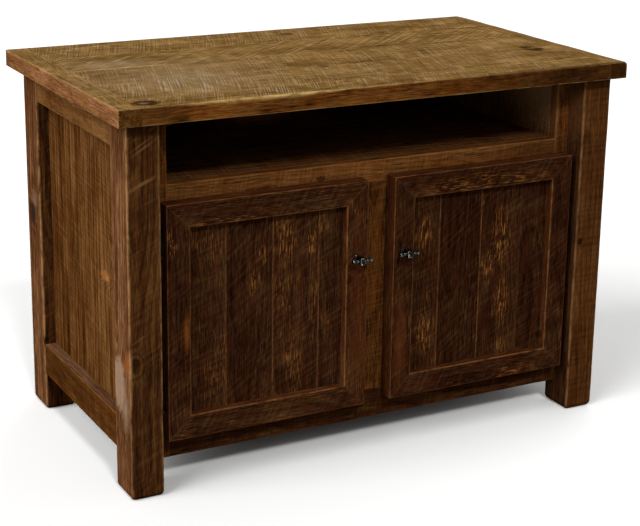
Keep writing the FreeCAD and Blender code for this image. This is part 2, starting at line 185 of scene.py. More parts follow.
class Figure(Enum):
    """Patterns of the wood, drawn out along the grain.

    Each gives the length and the width of its features in millimetres, its octaves of finer noise, and the
    noise levels that it stretches to 0 and 1. Real fibres and flecks are finer than a pixel, so they are
    drawn 2 to 3 mm wide.
    """

    FIBRE = (26.0, 2.2, 2.0, 0.32, 0.68)
    STREAK = (380.0, 8.0, 2.0, 0.3, 0.7)
    BLOTCH = (170.0, 60.0, 2.0, 0.3, 0.7)
    BROKEN_MARKS = (26.0, 80.0, 1.0, 0.35, 0.6)
    RUBBED_PATCH = (110.0, 45.0, 2.0, 0.35, 0.65)
    WORN_EDGE = (34.0, 12.0, 2.0, 0.3, 0.6)
    WARM_PATCH = (90.0, 13.0, 2.0, 0.45, 0.7)
    FLECK = (26.0, 2.9, 2.0, 0.0, 1.0)
    FLECK_CLUSTER = (110.0, 30.0, 1.0, 0.0, 1.0)


@dataclass(frozen=True)
class BoardFields:
    """Sockets that read what the mesh of a board carries.

    Attributes:
        grain: Place in the board, in millimetres.
        tint: How much paler than usual the stain took.
        slant: Angle of the saw's marks from square across the board, in radians.
        coarse: How many times wider than usual the marks are spaced.
        wear: Wear of the edges with their painted highlight, from 0 to 1.
        cut_end: 1 on a cut end.
        side: 1 on a narrow side.
        place: Place in the frame, in metres.
    """

    grain: Socket
    tint: Socket
    slant: Socket
    coarse: Socket
    wear: Socket
    cut_end: Socket
    side: Socket
    place: Socket

    @classmethod
    def read(cls, tree: Tree) -> "BoardFields":
        """Add the nodes that read them.

        Args:
            tree: Node tree.

        Returns:
            The sockets.
        """
        grain, board, edges = (add(tree, "Attribute", out="Vector", attribute_name=name)
                               for name in ("grain", "board", "edges"))
        tint, slant, coarse = add(tree, "SeparateXYZ", {0: board}).node.outputs
        wear, cut_end, side = add(tree, "SeparateXYZ", {0: edges}).node.outputs
        return cls(grain, tint, slant, coarse, wear, cut_end, side, add(tree, "TexCoord", out="Object"))


@dataclass(frozen=True)
class SawnPine:
    """Rough-sawn pine, brushed, stained and rubbed back, under a thin satin lacquer.

    The rings are those of a log that each board is cut from: dark late wood, paler early wood.
    Across them run the saw's marks, paler where the rubbing took the stain off their crests. The lacquer's
    gloss is too low to draw: any reflection of a white room would veil the stain.

    Attributes:
        name: What the material is.
        face: Stain on the wide faces.
        flank: Stain on the narrow sides.
        cut: Stain on the cut ends, if it isn't that of the narrow sides.
        worn: Hex colour of rubbed edges, which also serves as painted highlight along the arrises.
        crest: Hex colour of the rubbed crests of the saw's marks.
        fleck: Hex colour of short streaks where brushing bared the wood.
        flush: Hex colour of warm patches where the stain shows the heartwood through.
        ring: Ring spacing in millimetres.
        ring_contrast: How much darker late wood is, on the scale from pore to light.
        fibre_contrast: Strength of the fine fibres on that scale.
        streak_contrast: Strength of the long streaks on that scale.
        blotch_contrast: Strength of the uneven stain on that scale.
        saw_spacing: Distance between saw marks in millimetres.
        saw_contrast: Strength of the saw's marks on the scale from pore to light.
        crest_level: Height above which their crests are rubbed.
        crest_share: How far the crests turn to their own colour.
        crest_spread: Share of that outside the bared zones.
        saw_depth: Bump of the saw's marks.
        fleck_level: Noise level above which flecks show; 1 is none.
        wear: How far edges turn to their worn colour.
        roughness: Mean roughness of the lacquer.
        spots: Knots and uneven patches, and some patches of painted light and shade.
        bare: Zones where the brushing went deepest, so that flecks and crests crowd there.
        kept: Zones whose edges get neither wear nor its painted highlight.
        rim_size: Size of the raggedness of the spots' rims, in millimetres.
        saw_radius: Radius to which the saw's marks bow, in millimetres.
        saw_reach: How far a mark runs before it changes, across the board and in depth, in millimetres.
        bare_contrast: How much paler the bared zones are, on the scale from pore to light.
        crest_rise: Height above that level at which the crests are rubbed most.
        side_marks: Share of the saw's marks that is left on narrow sides.
        unbroken: Share of them that is left where they are broken up most.
        fleck_rise: Noise above their level at which flecks show fully.
        fleck_spread: Share of the flecks outside the bared zones.
        flush_share: How far the warm patches turn to their own colour.
        ring_depth: Bump of the late wood.
        bump: Depth of the whole bump in millimetres.
        bump_strength: How strongly it turns the surface, from 0 to 1.
        roughness_swing: How much rougher pores are than the mean, and fibres smoother.
        octave_share: Strength of each octave of the patterns' finer noise, as a share of the one before.
    """

    name: str
    face: Tones
    flank: Tones
    worn: str
    crest: str
    flush: str
    fleck: str = "#a8702f"
    ring: float = 6.0
    ring_contrast: float = 0.35
    fibre_contrast: float = 0.5
    streak_contrast: float = 0.35
    blotch_contrast: float = 0.35
    saw_spacing: float = 5.0
    saw_contrast: float = 0.3
    crest_level: float = 0.4
    crest_share: float = 0.3
    crest_spread: float = 0.6
    saw_depth: float = 0.5
    fleck_level: float = 1.0
    wear: float = 0.6
    cut: Optional[Tones] = None
    roughness: float = 0.55
    spots: tuple[Spot, ...] = ()
    bare: tuple[Spot, ...] = ()
    kept: tuple[Spot, ...] = ()
    rim_size: float = 9.1
    saw_radius: float = 1250.0
    saw_reach: tuple[float, float] = (320.0, 90.0)
    bare_contrast: float = 0.08
    crest_rise: float = 0.4
    side_marks: float = 0.15
    unbroken: float = 0.35
    fleck_rise: float = 0.06
    fleck_spread: float = 0.3
    flush_share: float = 0.45
    ring_depth: float = 0.35
    bump: float = 0.6
    bump_strength: float = 0.6
    roughness_swing: float = 0.12
    octave_share: float = 0.65

    def material(self) -> bpy.types.Material:
        """Build the material.

        Returns:
            The finished material.
        """
        material, tree = new_material(self.name)
        board = BoardFields.read(tree)
        push, hearts = self.spot_masks(tree, board.place)
        bared = self.zones(tree, board.place, self.bare)
        late = self.late_wood(tree, board.grain, push)
        fibre = self.pattern(tree, board.grain, Figure.FIBRE)
        saw = self.saw_marks(tree, board)
        face_saw = self.broken_marks(tree, board, saw)
        late_mean, noise_mean, saw_mean = 0.35, 0.5, 0.3
        colour = self.stained(tree, board, (
            (late, -self.ring_contrast, late_mean), (fibre, self.fibre_contrast, noise_mean),
            (self.pattern(tree, board.grain, Figure.STREAK), self.streak_contrast, noise_mean),
            (self.pattern(tree, board.grain, Figure.BLOTCH), self.blotch_contrast, noise_mean),
            (face_saw, self.saw_contrast, saw_mean), (bared, self.bare_contrast, 0.0)))
        layers = ((self.pattern(tree, board.grain, Figure.WARM_PATCH, most=self.flush_share), self.flush),
                  (self.rubbed_crests(tree, board, face_saw, bared), self.crest),
                  (self.flecks(tree, board, bared), self.fleck), *hearts,
                  (self.worn_edges(tree, board), self.worn))
        for mask, hex_colour in layers:
            colour = add(tree, "Mix", {0: mask, 6: colour, 7: linear(hex_colour)}, out=2, data_type="RGBA")
        swing = self.roughness_swing
        rough = add(tree, "MapRange", {0: fibre, 3: self.roughness + swing, 4: self.roughness - swing})
        shader = add(tree, "BsdfPrincipled", {"Base Color": colour, "Roughness": rough,
                                              "Normal": self.relief(tree, late, fibre, saw),
                                              "Specular IOR Level": 0.0})
        add(tree, "OutputMaterial", {"Surface": shader})
        return material

    def stained(self, tree: Tree, board: BoardFields, swings: Sequence[tuple[Input, float, float]]) -> Socket:
        """Colour of the stain before any of it is rubbed off.

        Args:
            tree: Node tree.
            board: What the board's mesh carries.
            swings: Patterns that make the stain paler, each with its strength and its mean.

        Returns:
            The colour.
        """
        level = 0.5 - sum(strength * mean for _, strength, mean in swings)
        shade = add(tree, "Math", {0: board.tint, 1: level}, operation="ADD")
        for part, strength, _ in swings:
            shade = add(tree, "Math", {0: part, 1: strength, 2: shade}, operation="MULTIPLY_ADD")
        face, flank = self.stain(tree, shade, self.face), self.stain(tree, shade, self.flank)
        colour = add(tree, "Mix", {0: board.side, 6: face, 7: flank}, out=2, data_type="RGBA")
        if self.cut:
            end = self.stain(tree, shade, self.cut)
            colour = add(tree, "Mix", {0: board.cut_end, 6: colour, 7: end}, out=2, data_type="RGBA")
        return colour

    def broken_marks(self, tree: Tree, board: BoardFields, saw: Socket) -> Socket:
        """Saw marks that planing and brushing broke up, and nearly took off the narrow sides.

        Args:
            tree: Node tree.
            board: What the board's mesh carries.
            saw: The marks as the saw left them.

        Returns:
            What is left of them, from 0 to 1.
        """
        on_face = add(tree, "MapRange", {0: board.side, 3: 1.0, 4: self.side_marks})
        broken = self.pattern(tree, board.grain, Figure.BROKEN_MARKS, least=self.unbroken)
        for limit in (on_face, broken):
            saw = add(tree, "Math", {0: saw, 1: limit}, operation="MULTIPLY")
        return saw

    def rubbed_crests(self, tree: Tree, board: BoardFields, saw: Socket, bared: Input) -> Socket:
        """Crests of the saw's marks that lost their stain.

        Args:
            tree: Node tree.
            board: What the board's mesh carries.
            saw: The marks that are left.
            bared: Where the brushing went deepest.

        Returns:
            How far they turn to their own colour.
        """
        patch = self.pattern(tree, board.grain, Figure.RUBBED_PATCH, most=self.crest_spread)
        crest = add(tree, "MapRange", {0: saw, 1: self.crest_level, 2: self.crest_level + self.crest_rise,
                                       4: self.crest_share})
        rubbing = add(tree, "Math", {0: patch, 1: bared}, operation="MAXIMUM")
        crest = add(tree, "Math", {0: crest, 1: rubbing}, operation="MULTIPLY")
        return add(tree, "Math", {0: crest, 1: board.coarse}, operation="DIVIDE")

    def flecks(self, tree: Tree, board: BoardFields, bared: Input) -> Socket:
        """Short streaks of bared wood, few on most boards and crowded where the brushing went deepest.

        Args:
            tree: Node tree.
            board: What the board's mesh carries.
            bared: Where the brushing went deepest.

        Returns:
            How far they turn to their own colour.
        """
        speck = add(tree, "MapRange", {0: self.drawn(tree, board.grain, Figure.FLECK), 1: self.fleck_level,
                                       2: self.fleck_level + self.fleck_rise})
        # Outside the bared zones, the paler a board is, the more flecks it has.
        tint_pull, none, many = 0.8, 0.54, 0.66
        cluster = self.drawn(tree, board.grain, Figure.FLECK_CLUSTER)
        cluster = add(tree, "Math", {0: board.tint, 1: tint_pull, 2: cluster}, operation="MULTIPLY_ADD")
        cluster = add(tree, "MapRange", {0: cluster, 1: none, 2: many, 4: self.fleck_spread})
        cluster = add(tree, "Math", {0: cluster, 1: bared}, operation="MAXIMUM")
        return add(tree, "Math", {0: speck, 1: cluster}, operation="MULTIPLY")

    def worn_edges(self, tree: Tree, board: BoardFields) -> Socket:
        """Edges paled partly by wear and partly as painted highlights along the arrises.

        Args:
            tree: Node tree.
            board: What the board's mesh carries.

        Returns:
            How far they turn to their own colour.
        """
        rubbed = self.pattern(tree, board.grain, Figure.WORN_EDGE, most=self.wear)
        rubbed = add(tree, "Math", {0: rubbed, 1: board.wear}, operation="MULTIPLY")
        kept = self.zones(tree, board.place, self.kept)
        open_to_wear_and_light = add(tree, "Math", {0: 1.0, 1: kept}, operation="SUBTRACT")
        return add(tree, "Math", {0: rubbed, 1: open_to_wear_and_light}, operation="MULTIPLY")

    def relief(self, tree: Tree, late: Socket, fibre: Socket, saw: Socket) -> Socket:
        """Bump of the brushed rings, the fibres and the saw's marks.

        Args:
            tree: Node tree.
            late: Late wood, which brushing leaves proud.
            fibre: The fibres.
            saw: The saw's marks.

        Returns:
            The bumped normal.
        """
        height = add(tree, "Math", {0: late, 1: self.ring_depth, 2: fibre}, operation="MULTIPLY_ADD")
        height = add(tree, "Math", {0: saw, 1: self.saw_depth, 2: height}, operation="MULTIPLY_ADD")
        return add(tree, "Bump", {"Height": height, "Strength": self.bump_strength,
                                  "Distance": self.bump * MM}, out="Normal")

    @staticmethod
    def stain(tree: Tree, shade: Socket, tones: Tones) -> Socket:
        """Colour that a stain takes on.

        Args:
            tree: Node tree.
            shade: 0 in the pores, 1 in the palest wood.
            tones: The stain.

        Returns:
            The colour.
        """
        colour = add(tree, "ValToRGB", {0: shade})
        stops = colour.node.color_ramp.elements
        stops[0].color, stops[1].color = linear(tones.pore), linear(tones.light)
        stops.new(0.5).color = linear(tones.body)
        return colour

    def drawn(self, tree: Tree, grain: Socket, figure: Figure) -> Socket:
        """Noise drawn out along the grain.

        Args:
            tree: Node tree.
            grain: Place in the board, in millimetres.
            figure: Which pattern.

        Returns:
            Noise from 0 to 1.
        """
        along, across, detail, _, _ = figure.value
        place = add(tree, "VectorMath", {0: grain, 1: per_mm(along, across)}, operation="MULTIPLY")
        return add(tree, "TexNoise", {"Vector": place, "Scale": 1.0, "Detail": detail,
                                      "Roughness": self.octave_share})

    def pattern(self, tree: Tree, grain: Socket, figure: Figure, least: float = 0.0,
                most: float = 1.0) -> Socket:
        """Noise drawn out along the grain and stretched between its own levels.

        Args:
            tree: Node tree.
            grain: Place in the board, in millimetres.
            figure: Which pattern.
            least: Value at and below its low level.
            most: Value at and above its high level.

        Returns:
            The stretched noise.
        """
        low, high = figure.value[3:]
        level = self.drawn(tree, grain, figure)
        return add(tree, "MapRange", {0: level, 1: low, 2: high, 3: least, 4: most})

    @staticmethod
    def distance(tree: Tree, place: Socket, spot: Spot) -> Socket:
        """Distance from a spot's centre as a share of its reach.

        Args:
            tree: Node tree.
            place: Place in the frame, in metres.
            spot: The spot.

        Returns:
            0 at the centre and 1 at the reach.
        """
        centre = tuple(value * MM for value in spot.centre)
        scale = tuple(1 / (value * MM) for value in spot.reach)
        offset = add(tree, "VectorMath", {0: place, 1: centre}, operation="SUBTRACT")
        ball = add(tree, "VectorMath", {0: offset, 1: scale}, operation="MULTIPLY")
        return add(tree, "VectorMath", {0: ball}, out="Value", operation="LENGTH")

    def zones(self, tree: Tree, place: Socket, spots: tuple[Spot, ...]) -> Input:
        """Soft zones of the surface.

        Args:
            tree: Node tree.
            place: Place in the frame, in metres.
            spots: The zones.

        Returns:
            Each zone's strength at its centre, fading to 0 round it.
        """
        mask = 0.0
        # Where a zone ends and where it is strongest, as shares of its reach.
        rim, core = 1.2, 0.4
        for zone in spots:
            near = add(tree, "MapRange", {0: self.distance(tree, place, zone), 1: rim, 2: core,
                                          4: zone.strength})
            mask = add(tree, "Math", {0: near, 1: mask}, operation="MAXIMUM")
        return mask

    def spot_masks(self, tree: Tree, place: Socket) -> tuple[Input, list[tuple[Socket, str]]]:
        """Fields of the knots and patches.

        Args:
            tree: Node tree.
            place: Place in the frame, in metres.

        Returns:
            How far knots push the rings aside, from 0 to 1, and each heart's mask with its colour.
        """
        push, hearts = 0.0, []
        # Shares of a spot's reach: where it ends, where it stops bending the rings, and how torn its rim is.
        rim, bend_reach, tear = 1.4, 2.6, 0.7
        ragged = add(tree, "TexNoise", {"Vector": place, "Scale": 1 / (self.rim_size * MM), "Detail": 2.0})
        for spot in self.spots:
            distance = self.distance(tree, place, spot)
            torn = add(tree, "Math", {0: ragged, 1: tear, 2: distance}, operation="MULTIPLY_ADD")
            softness = 0.35 if spot.bends else 1.0
            heart = add(tree, "MapRange", {0: torn, 1: rim, 2: rim - softness, 4: spot.strength})
            hearts.append((heart, spot.colour))
            if spot.bends:
                near = add(tree, "MapRange", {0: distance, 1: bend_reach, 2: 0.0},
                           interpolation_type="SMOOTHSTEP")
                push = add(tree, "Math", {0: near, 1: push}, operation="MAXIMUM")
        return push, hearts

    def late_wood(self, tree: Tree, grain: Socket, push: Input) -> Socket:
        """Rings of the log, seen wherever the board's faces cut them.

        Args:
            tree: Node tree.
            grain: Place in the board, in millimetres.
            push: How far knots push the rings aside, from 0 to 1.

        Returns:
            1 in late wood and 0 in early wood.
        """
        swayed = grain
        # Length, width and height in millimetres of the slow bends of the log and of the rings' own waves.
        for along, across, sway in ((260, 300, 26.0), (60, 16, 3.5)):
            place = add(tree, "VectorMath", {0: grain, 1: per_mm(along, across)}, operation="MULTIPLY")
            drift = add(tree, "TexNoise", {"Vector": place, "Scale": 1.0, "Detail": 2.0}, out="Color")
            swayed = add(tree, "VectorMath", {0: drift, 1: (0.0, sway, sway), 2: swayed},
                         operation="MULTIPLY_ADD")
        pith = add(tree, "Attribute", out="Vector", attribute_name="pith")
        pith_across, pith_depth, rise = add(tree, "SeparateXYZ", {0: pith}).node.outputs
        length = add(tree, "SeparateXYZ", {0: swayed})
        depth = add(tree, "Math", {0: rise, 1: length, 2: pith_depth}, operation="MULTIPLY_ADD")
        axis = add(tree, "CombineXYZ", {0: length, 1: pith_across, 2: depth})
        spoke = add(tree, "VectorMath", {0: swayed, 1: axis}, operation="SUBTRACT")
        radius = add(tree, "VectorMath", {0: spoke}, out="Value", operation="LENGTH")
        pushed_rings = 3
        radius = add(tree, "Math", {0: push, 1: self.ring * pushed_rings, 2: radius},
                     operation="MULTIPLY_ADD")
        # Good and bad years: noise a few rings long crowds some rings and spreads others.
        season_rings, season_swing = 6.25, 3.0
        season = add(tree, "TexNoise", {"W": radius, "Scale": 1 / (season_rings * self.ring), "Detail": 1.0},
                     noise_dimensions="1D")
        season = add(tree, "Math", {0: season, 1: season_swing}, operation="MULTIPLY")
        age = add(tree, "Math", {0: radius, 1: 1 / self.ring, 2: season}, operation="MULTIPLY_ADD")
        year = add(tree, "Math", {0: age}, operation="FRACT")
        # Shares of a year at which late wood starts, is darkest and begins to end.
        starts, darkest, ends = 0.3, 0.92, 0.93
        growth = add(tree, "MapRange", {0: year, 1: starts, 2: darkest}, interpolation_type="SMOOTHSTEP")
        winter = add(tree, "MapRange", {0: year, 1: 1.0, 2: ends})
        return add(tree, "Math", {0: growth, 1: winter}, operation="MULTIPLY")

    def saw_marks(self, tree: Tree, board: BoardFields) -> Socket:
        """Marks of the mill's saw: slightly bowed lines across the board.

        Args:
            tree: Node tree.
            board: What the board's mesh carries.

        Returns:
            Height that runs in lines, from 0 in the troughs to 1 on the crests.
        """
        along, across, depth = add(tree, "SeparateXYZ", {0: board.grain}).node.outputs
        bow = add(tree, "Math", {0: across, 1: across}, operation="MULTIPLY")
        bowed = add(tree, "Math", {0: bow, 1: 1 / (2 * self.saw_radius), 2: along}, operation="MULTIPLY_ADD")
        place = add(tree, "CombineXYZ", {0: bowed, 1: across, 2: depth})
        turned = add(tree, "VectorRotate", {"Vector": place, "Angle": board.slant}, rotation_type="Z_AXIS")
        length, fade = self.saw_reach
        scaled = add(tree, "VectorMath", {0: turned, 1: (1 / self.saw_spacing, 1 / length, 1 / fade)},
                     operation="MULTIPLY")
        spread = add(tree, "CombineXYZ", {0: board.coarse, 1: 1.0, 2: 1.0})
        scaled = add(tree, "VectorMath", {0: scaled, 1: spread}, operation="DIVIDE")
        # The board's feed was uneven, so the lines drift slowly, by up to three spacings.
        drift_pace, drift_swing = 0.3, 3.0
        slow = add(tree, "VectorMath", {0: scaled, 1: (drift_pace, 1.0, 1.0)}, operation="MULTIPLY")
        drift = add(tree, "TexNoise", {"Vector": slow, "Scale": 1.0, "Detail": 1.0})
        phase = add(tree, "Math", {0: drift, 1: drift_swing, 2: add(tree, "SeparateXYZ", {0: scaled})},
                    operation="MULTIPLY_ADD")
        lines = add(tree, "Math", {0: phase, 1: 0.5}, operation="PINGPONG")
        torn_pace, line_share = 1.6, 0.7
        rough = add(tree, "TexNoise", {"Vector": scaled, "Scale": torn_pace, "Detail": 1.0})
        height = add(tree, "Math", {0: lines, 1: line_share, 2: rough}, operation="MULTIPLY_ADD")
        trough, crest = 0.48, 0.92
        return add(tree, "MapRange", {0: height, 1: trough, 2: crest})


@dataclass(frozen=True)
class WorkedMetal:
    """A metal with a worked skin: darker where the finish is thick, brighter where it is rubbed. On the knobs
    that brightness is painted glints on the high spots, standing in for the lamps' reflections.

    Attributes:
        name: What the material is.
        finish: Hex colour of the finish.
        rubbed: Hex colour where wear took the finish off, and of the painted glints on the knobs.
        mark: Size of its tool marks in millimetres.
        depth: Depth of the marks in millimetres.
        roughness: Mean roughness.
        rub_size: Size of the worn places and of the knobs' painted glints, in millimetres.
        rub_level: Noise level above which the finish shows wear, and the knobs their painted glints; a mesh's
            "handled" attribute adds to it.
        rub_rise: Noise above that level at which the wear and the painted glints are full.
        handling: How much that attribute adds to the painted glints.
        roughness_swing: How far the marks change the roughness.
        bump_strength: How strongly they turn the surface, from 0 to 1.
    """

    name: str
    finish: str
    rubbed: str
    mark: float
    depth: float
    roughness: float
    rub_size: float = 4.0
    rub_level: float = 0.4
    rub_rise: float = 0.2
    handling: float = 0.4
    roughness_swing: float = 0.1
    bump_strength: float = 0.5

    def material(self) -> bpy.types.Material:
        """Build the material.

        Returns:
            The finished material.
        """
        material, tree = new_material(self.name)
        place = add(tree, "TexCoord", out="Object")
        marks = add(tree, "TexNoise", {"Vector": place, "Scale": 1 / (self.mark * MM), "Detail": 3.0})
        cloud = add(tree, "TexNoise", {"Vector": place, "Scale": 1 / (self.rub_size * MM), "Detail": 2.0})
        # On the knobs the attribute below lifts the high spots to the pale colour: painted glints.
        handled = add(tree, "Attribute", out="Fac", attribute_name="handled")
        cloud = add(tree, "Math", {0: handled, 1: self.handling, 2: cloud}, operation="MULTIPLY_ADD")
        rubbing = add(tree, "MapRange", {0: cloud, 1: self.rub_level, 2: self.rub_level + self.rub_rise})
        colour = add(tree, "Mix", {0: rubbing, 6: linear(self.finish), 7: linear(self.rubbed)}, out=2,
                     data_type="RGBA")
        swing = self.roughness_swing
        rough = add(tree, "MapRange", {0: marks, 3: self.roughness - swing, 4: self.roughness + swing})
        bump = add(tree, "Bump", {"Height": marks, "Strength": self.bump_strength,
                                  "Distance": self.depth * MM}, out="Normal")
        shader = add(tree, "BsdfPrincipled", {"Base Color": colour, "Metallic": 1.0, "Roughness": rough,
                                              "Normal": bump})
        add(tree, "OutputMaterial", {"Surface": shader})
        return material


@dataclass(frozen=True)
class MouldedPlastic:
    """A moulded plastic with a fine spark-eroded texture.

    Attributes:
        name: What the material is.
        colour: Hex colour.
        texture: Size of the texture in millimetres.
        depth: Depth of the texture in millimetres.
        roughness: Mean roughness.
        roughness_swing: How far the texture changes it.
        bump_strength: How strongly the texture turns the surface, from 0 to 1.
        ior: Index of refraction.
    """

    name: str
    colour: str
    texture: float
    depth: float = 0.05
    roughness: float = 0.55
    roughness_swing: float = 0.1
    bump_strength: float = 0.3
    ior: float = 1.54

    def material(self) -> bpy.types.Material:
        """Build the material.

        Returns:
            The finished material.
        """
        material, tree = new_material(self.name)
        place = add(tree, "TexCoord", out="Object")
        spark = add(tree, "TexNoise", {"Vector": place, "Scale": 1 / (self.texture * MM), "Detail": 2.0})
        swing = self.roughness_swing
        rough = add(tree, "MapRange", {0: spark, 3: self.roughness - swing, 4: self.roughness + swing})
        bump = add(tree, "Bump", {"Height": spark, "Strength": self.bump_strength,
                                  "Distance": self.depth * MM}, out="Normal")
        shader = add(tree, "BsdfPrincipled", {"Base Color": linear(self.colour), "Roughness": rough,
                                              "IOR": self.ior, "Normal": bump})
        add(tree, "OutputMaterial", {"Surface": shader})
        return material


# The finishes. All the wood is pine from one mill, stained by hand, so each part took its own shade of stain.
# Some tones and patches also carry painted light and shade, as noted below.

# Tabletop: circular-sawn pine, stained mid brown and sanded back. The eye gets pale saw strokes across
# a warm tan, greyer over its left part.
TOP_PINE = SawnPine(
    name="rough_sawn_pine_brown_stain",
    face=Tones("#341d08", "#6b5029", "#9d7c4f"), flank=Tones("#2a1104", "#653813", "#8c5b24"),
    worn="#c8a96c", crest="#aca18e", flush="#805c2e", ring_contrast=0.15, streak_contrast=0.15,
    blotch_contrast=0.45, fibre_contrast=0.6, saw_contrast=0.34, crest_share=0.62, crest_spread=0.3,
    saw_spacing=5.2, saw_depth=0.5, wear=0.95,
    spots=(Spot((-470, -271, 730), (29, 24, 14), "#34200e", 0.95),
           Spot((-474, -271, 730), (12, 9, 14), "#77604a", 0.9, False),
           Spot((441, -106, 730), (25, 31, 14), "#33210f", 0.95),
           Spot((441, -106, 730), (11, 13, 14), "#5f4a34", 0.9, False),
           Spot((-38, -101, 730), (13, 13, 14), "#4a3622", 0.85),
           Spot((60, 243, 730), (16, 17, 14), "#4a3622", 0.85),
           Spot((-317, 252, 730), (26, 16, 14), "#553d20", 0.6, False),
           Spot((-455, -305, 714), (66, 12, 40), "#3a220d", 0.6, False),
           Spot((-417, -305, 703), (24, 12, 11), "#1f1006", 0.8, False),
           Spot((410, -305, 714), (300, 16, 60), "#241207", 0.9, False),
           # Greyer pale patches over the left part of the top.
           Spot((-330, -90, 730), (230, 190, 20), "#847158", 0.4, False),
           Spot((-400, 76, 730), (120, 60, 20), "#82735e", 0.3, False)),
    bare=(Spot((-400, 76, 730), (120, 60, 20)), Spot((-360, -150, 730), (130, 100, 20)),
          Spot((-180, -260, 730), (140, 40, 20), strength=0.5)),
    kept=(Spot((300, -305, 730), (400, 25, 25), strength=0.85),
          Spot((-460, -305, 730), (120, 25, 25), strength=0.7)))
# The end boards' edges show end-on rings and long fibres. Their side tones are paler and less orange than the
# front edge's, partly painted light and shade: the left edge is lit, the front edge shaded.
TOP_END_PINE = replace(TOP_PINE, name="rough_sawn_pine_brown_stain_ends", crest_share=0.25, wear=0.25,
                       flank=Tones("#4c2910", "#835736", "#ad7c58"), saw_contrast=0.3,
                       cut=Tones("#1e0e04", "#452609", "#64411a"))
# Posts: square-sawn pine, stained dark and rubbed on the corners, so the arrises show pale, partly wear and
# partly painted highlight.
# The sides' tones are paler than the front's, partly painted light and shade: the left side is lit, the front
# shaded.
POST_PINE = SawnPine(
    name="square_sawn_pine_dark_stain",
    face=Tones("#160902", "#3d2311", "#61411e"), flank=Tones("#2b1507", "#5f3c23", "#986c49"),
    worn="#ad8152", crest="#7d5836", flush="#4d260f", saw_spacing=13.0, saw_depth=0.5, wear=0.85,
    ring_contrast=0.25, fibre_contrast=0.5, streak_contrast=0.4, saw_contrast=0.15, crest_level=0.6,
    crest_share=0.7, crest_spread=0.15,
    # Pale patches low on the front post's left side: partly a knot's pale wood, partly painted sheen.
    spots=(Spot((-512, -228, 212), (14, 28, 58), "#a0836b", 0.68),
           Spot((-512, -256, 172), (14, 22, 56), "#9a7d64", 0.7, False),
           Spot((-512, -268, 264), (14, 14, 26), "#8f4f1f", 0.9, False),
           Spot((-502, -281, 262), (10, 8, 15), "#1f0e05", 0.8),
           Spot((-512, 222, 440), (14, 24, 30), "#86684e", 0.6, False),
           Spot((-512, 233, 410), (14, 14, 24), "#2c2119", 0.95)),
    bare=(Spot((-480, -281, 625), (60, 12, 110), strength=0.8),
          Spot((-478, -281, 325), (40, 12, 60), strength=0.4)),
    kept=(Spot((-512, -281, 60), (25, 25, 140), strength=0.6),))
# The right-hand posts come from a smoother log: a plain warm face with short level saw marks.
# Their sides' tones are darker as painted shade beside the doors and under the top, with one paler patch of
# painted light on the front post's left side at the bay's height.
POST_RIGHT_PINE = replace(POST_PINE, name="square_sawn_pine_dark_stain_smooth", crest_share=0.1,
                          face=Tones("#2c1606", "#4a2b13", "#64411e"), bare=(),
                          # Darker side tones: painted shade.
                          flank=Tones("#170b05", "#2e1b0f", "#4d301a"), saw_contrast=-0.25, saw_spacing=14.0,
                          fibre_contrast=0.55, wear=0.45, kept=(),
                          spots=(Spot((459, -281, 364), (6, 14, 8), "#1f0f05", 0.9),
                                 # Paler patch on the front post's left side at the bay's height: painted
                                 # light.
                                 Spot((447, -245, 645), (7, 60, 95), "#6e4626", 0.9, False)))
# Side frames: planed pine boards under the same stain, smoother, so the rings show more than the saw.
SIDE_PINE = SawnPine(
    name="planed_pine_brown_stain",
    face=Tones("#1d0b04", "#4e2e12", "#825b34"), flank=Tones("#311c0b", "#684932", "#98765b"),
    worn="#845522", crest="#734c1f", flush="#5a2f0e", saw_spacing=10.0, crest_share=0.1, saw_contrast=0.15,
    saw_depth=0.2, wear=0.5, ring=7.0, fibre_contrast=0.36, ring_contrast=0.2, streak_contrast=0.55,
    spots=(Spot((-488, -103, 352), (12, 15, 24), "#3c2312", 0.5, False),
           Spot((-488, -106, 374), (12, 26, 11), "#94602f", 0.7),
           Spot((-488, -112, 372), (12, 9, 6), "#b07a44", 0.7, False)))
# The side rails are of quieter wood, which took the stain evenly.
SIDE_RAIL_PINE = replace(SIDE_PINE, name="planed_pine_brown_stain_even", fibre_contrast=0.35,
                         ring_contrast=0.12, streak_contrast=0.2, blotch_contrast=0.25, spots=())
# Face frame: planed pine with a honey-brown stain. The eye gets a warm brown with a fine, quiet grain.
FRAME_PINE = SawnPine(
    name="planed_pine_honey_stain",
    face=Tones("#351b09", "#653f1c", "#845b33"), flank=Tones("#2f1807", "#563416", "#754f29"),
    worn="#96683c", crest="#93673a", flush="#7a3d12", saw_spacing=9.0, crest_share=0.15, saw_contrast=0.2,
    saw_depth=0.3, wear=0.5, ring_contrast=0.22, fibre_contrast=0.6, streak_contrast=0.28,
    spots=(Spot((-111, -235, 548), (10, 8, 6), "#2b1507"),
           Spot((370, -245, 550), (190, 40, 40), "#2a1507", 0.6, False),
           # A paler patch on the right stile's side at the bay's height: painted light where the top shades
           # it.
           Spot((418, -240, 645), (8, 45, 100), "#8a5c34", 0.75, False),
           # Dark patches at the feet of the stiles, under the doors: painted shade.
           Spot((-445, -245, 75), (80, 40, 50), "#2a1507", 0.9, False),
           Spot((445, -245, 75), (80, 40, 50), "#2a1507", 0.9, False)))
# Its bottom rail gets tones as dark as the doors': painted shade under the doors, so that it falls back under
# them.
FRAME_LOW_PINE = replace(FRAME_PINE, name="planed_pine_dark_stain",
                         face=Tones("#1b0a04", "#371d0d", "#57391d"),
                         flank=Tones("#1a0903", "#351b0b", "#55361a"), worn="#6a4526", crest="#5a3a20",
                         flush="#401c0c", spots=())
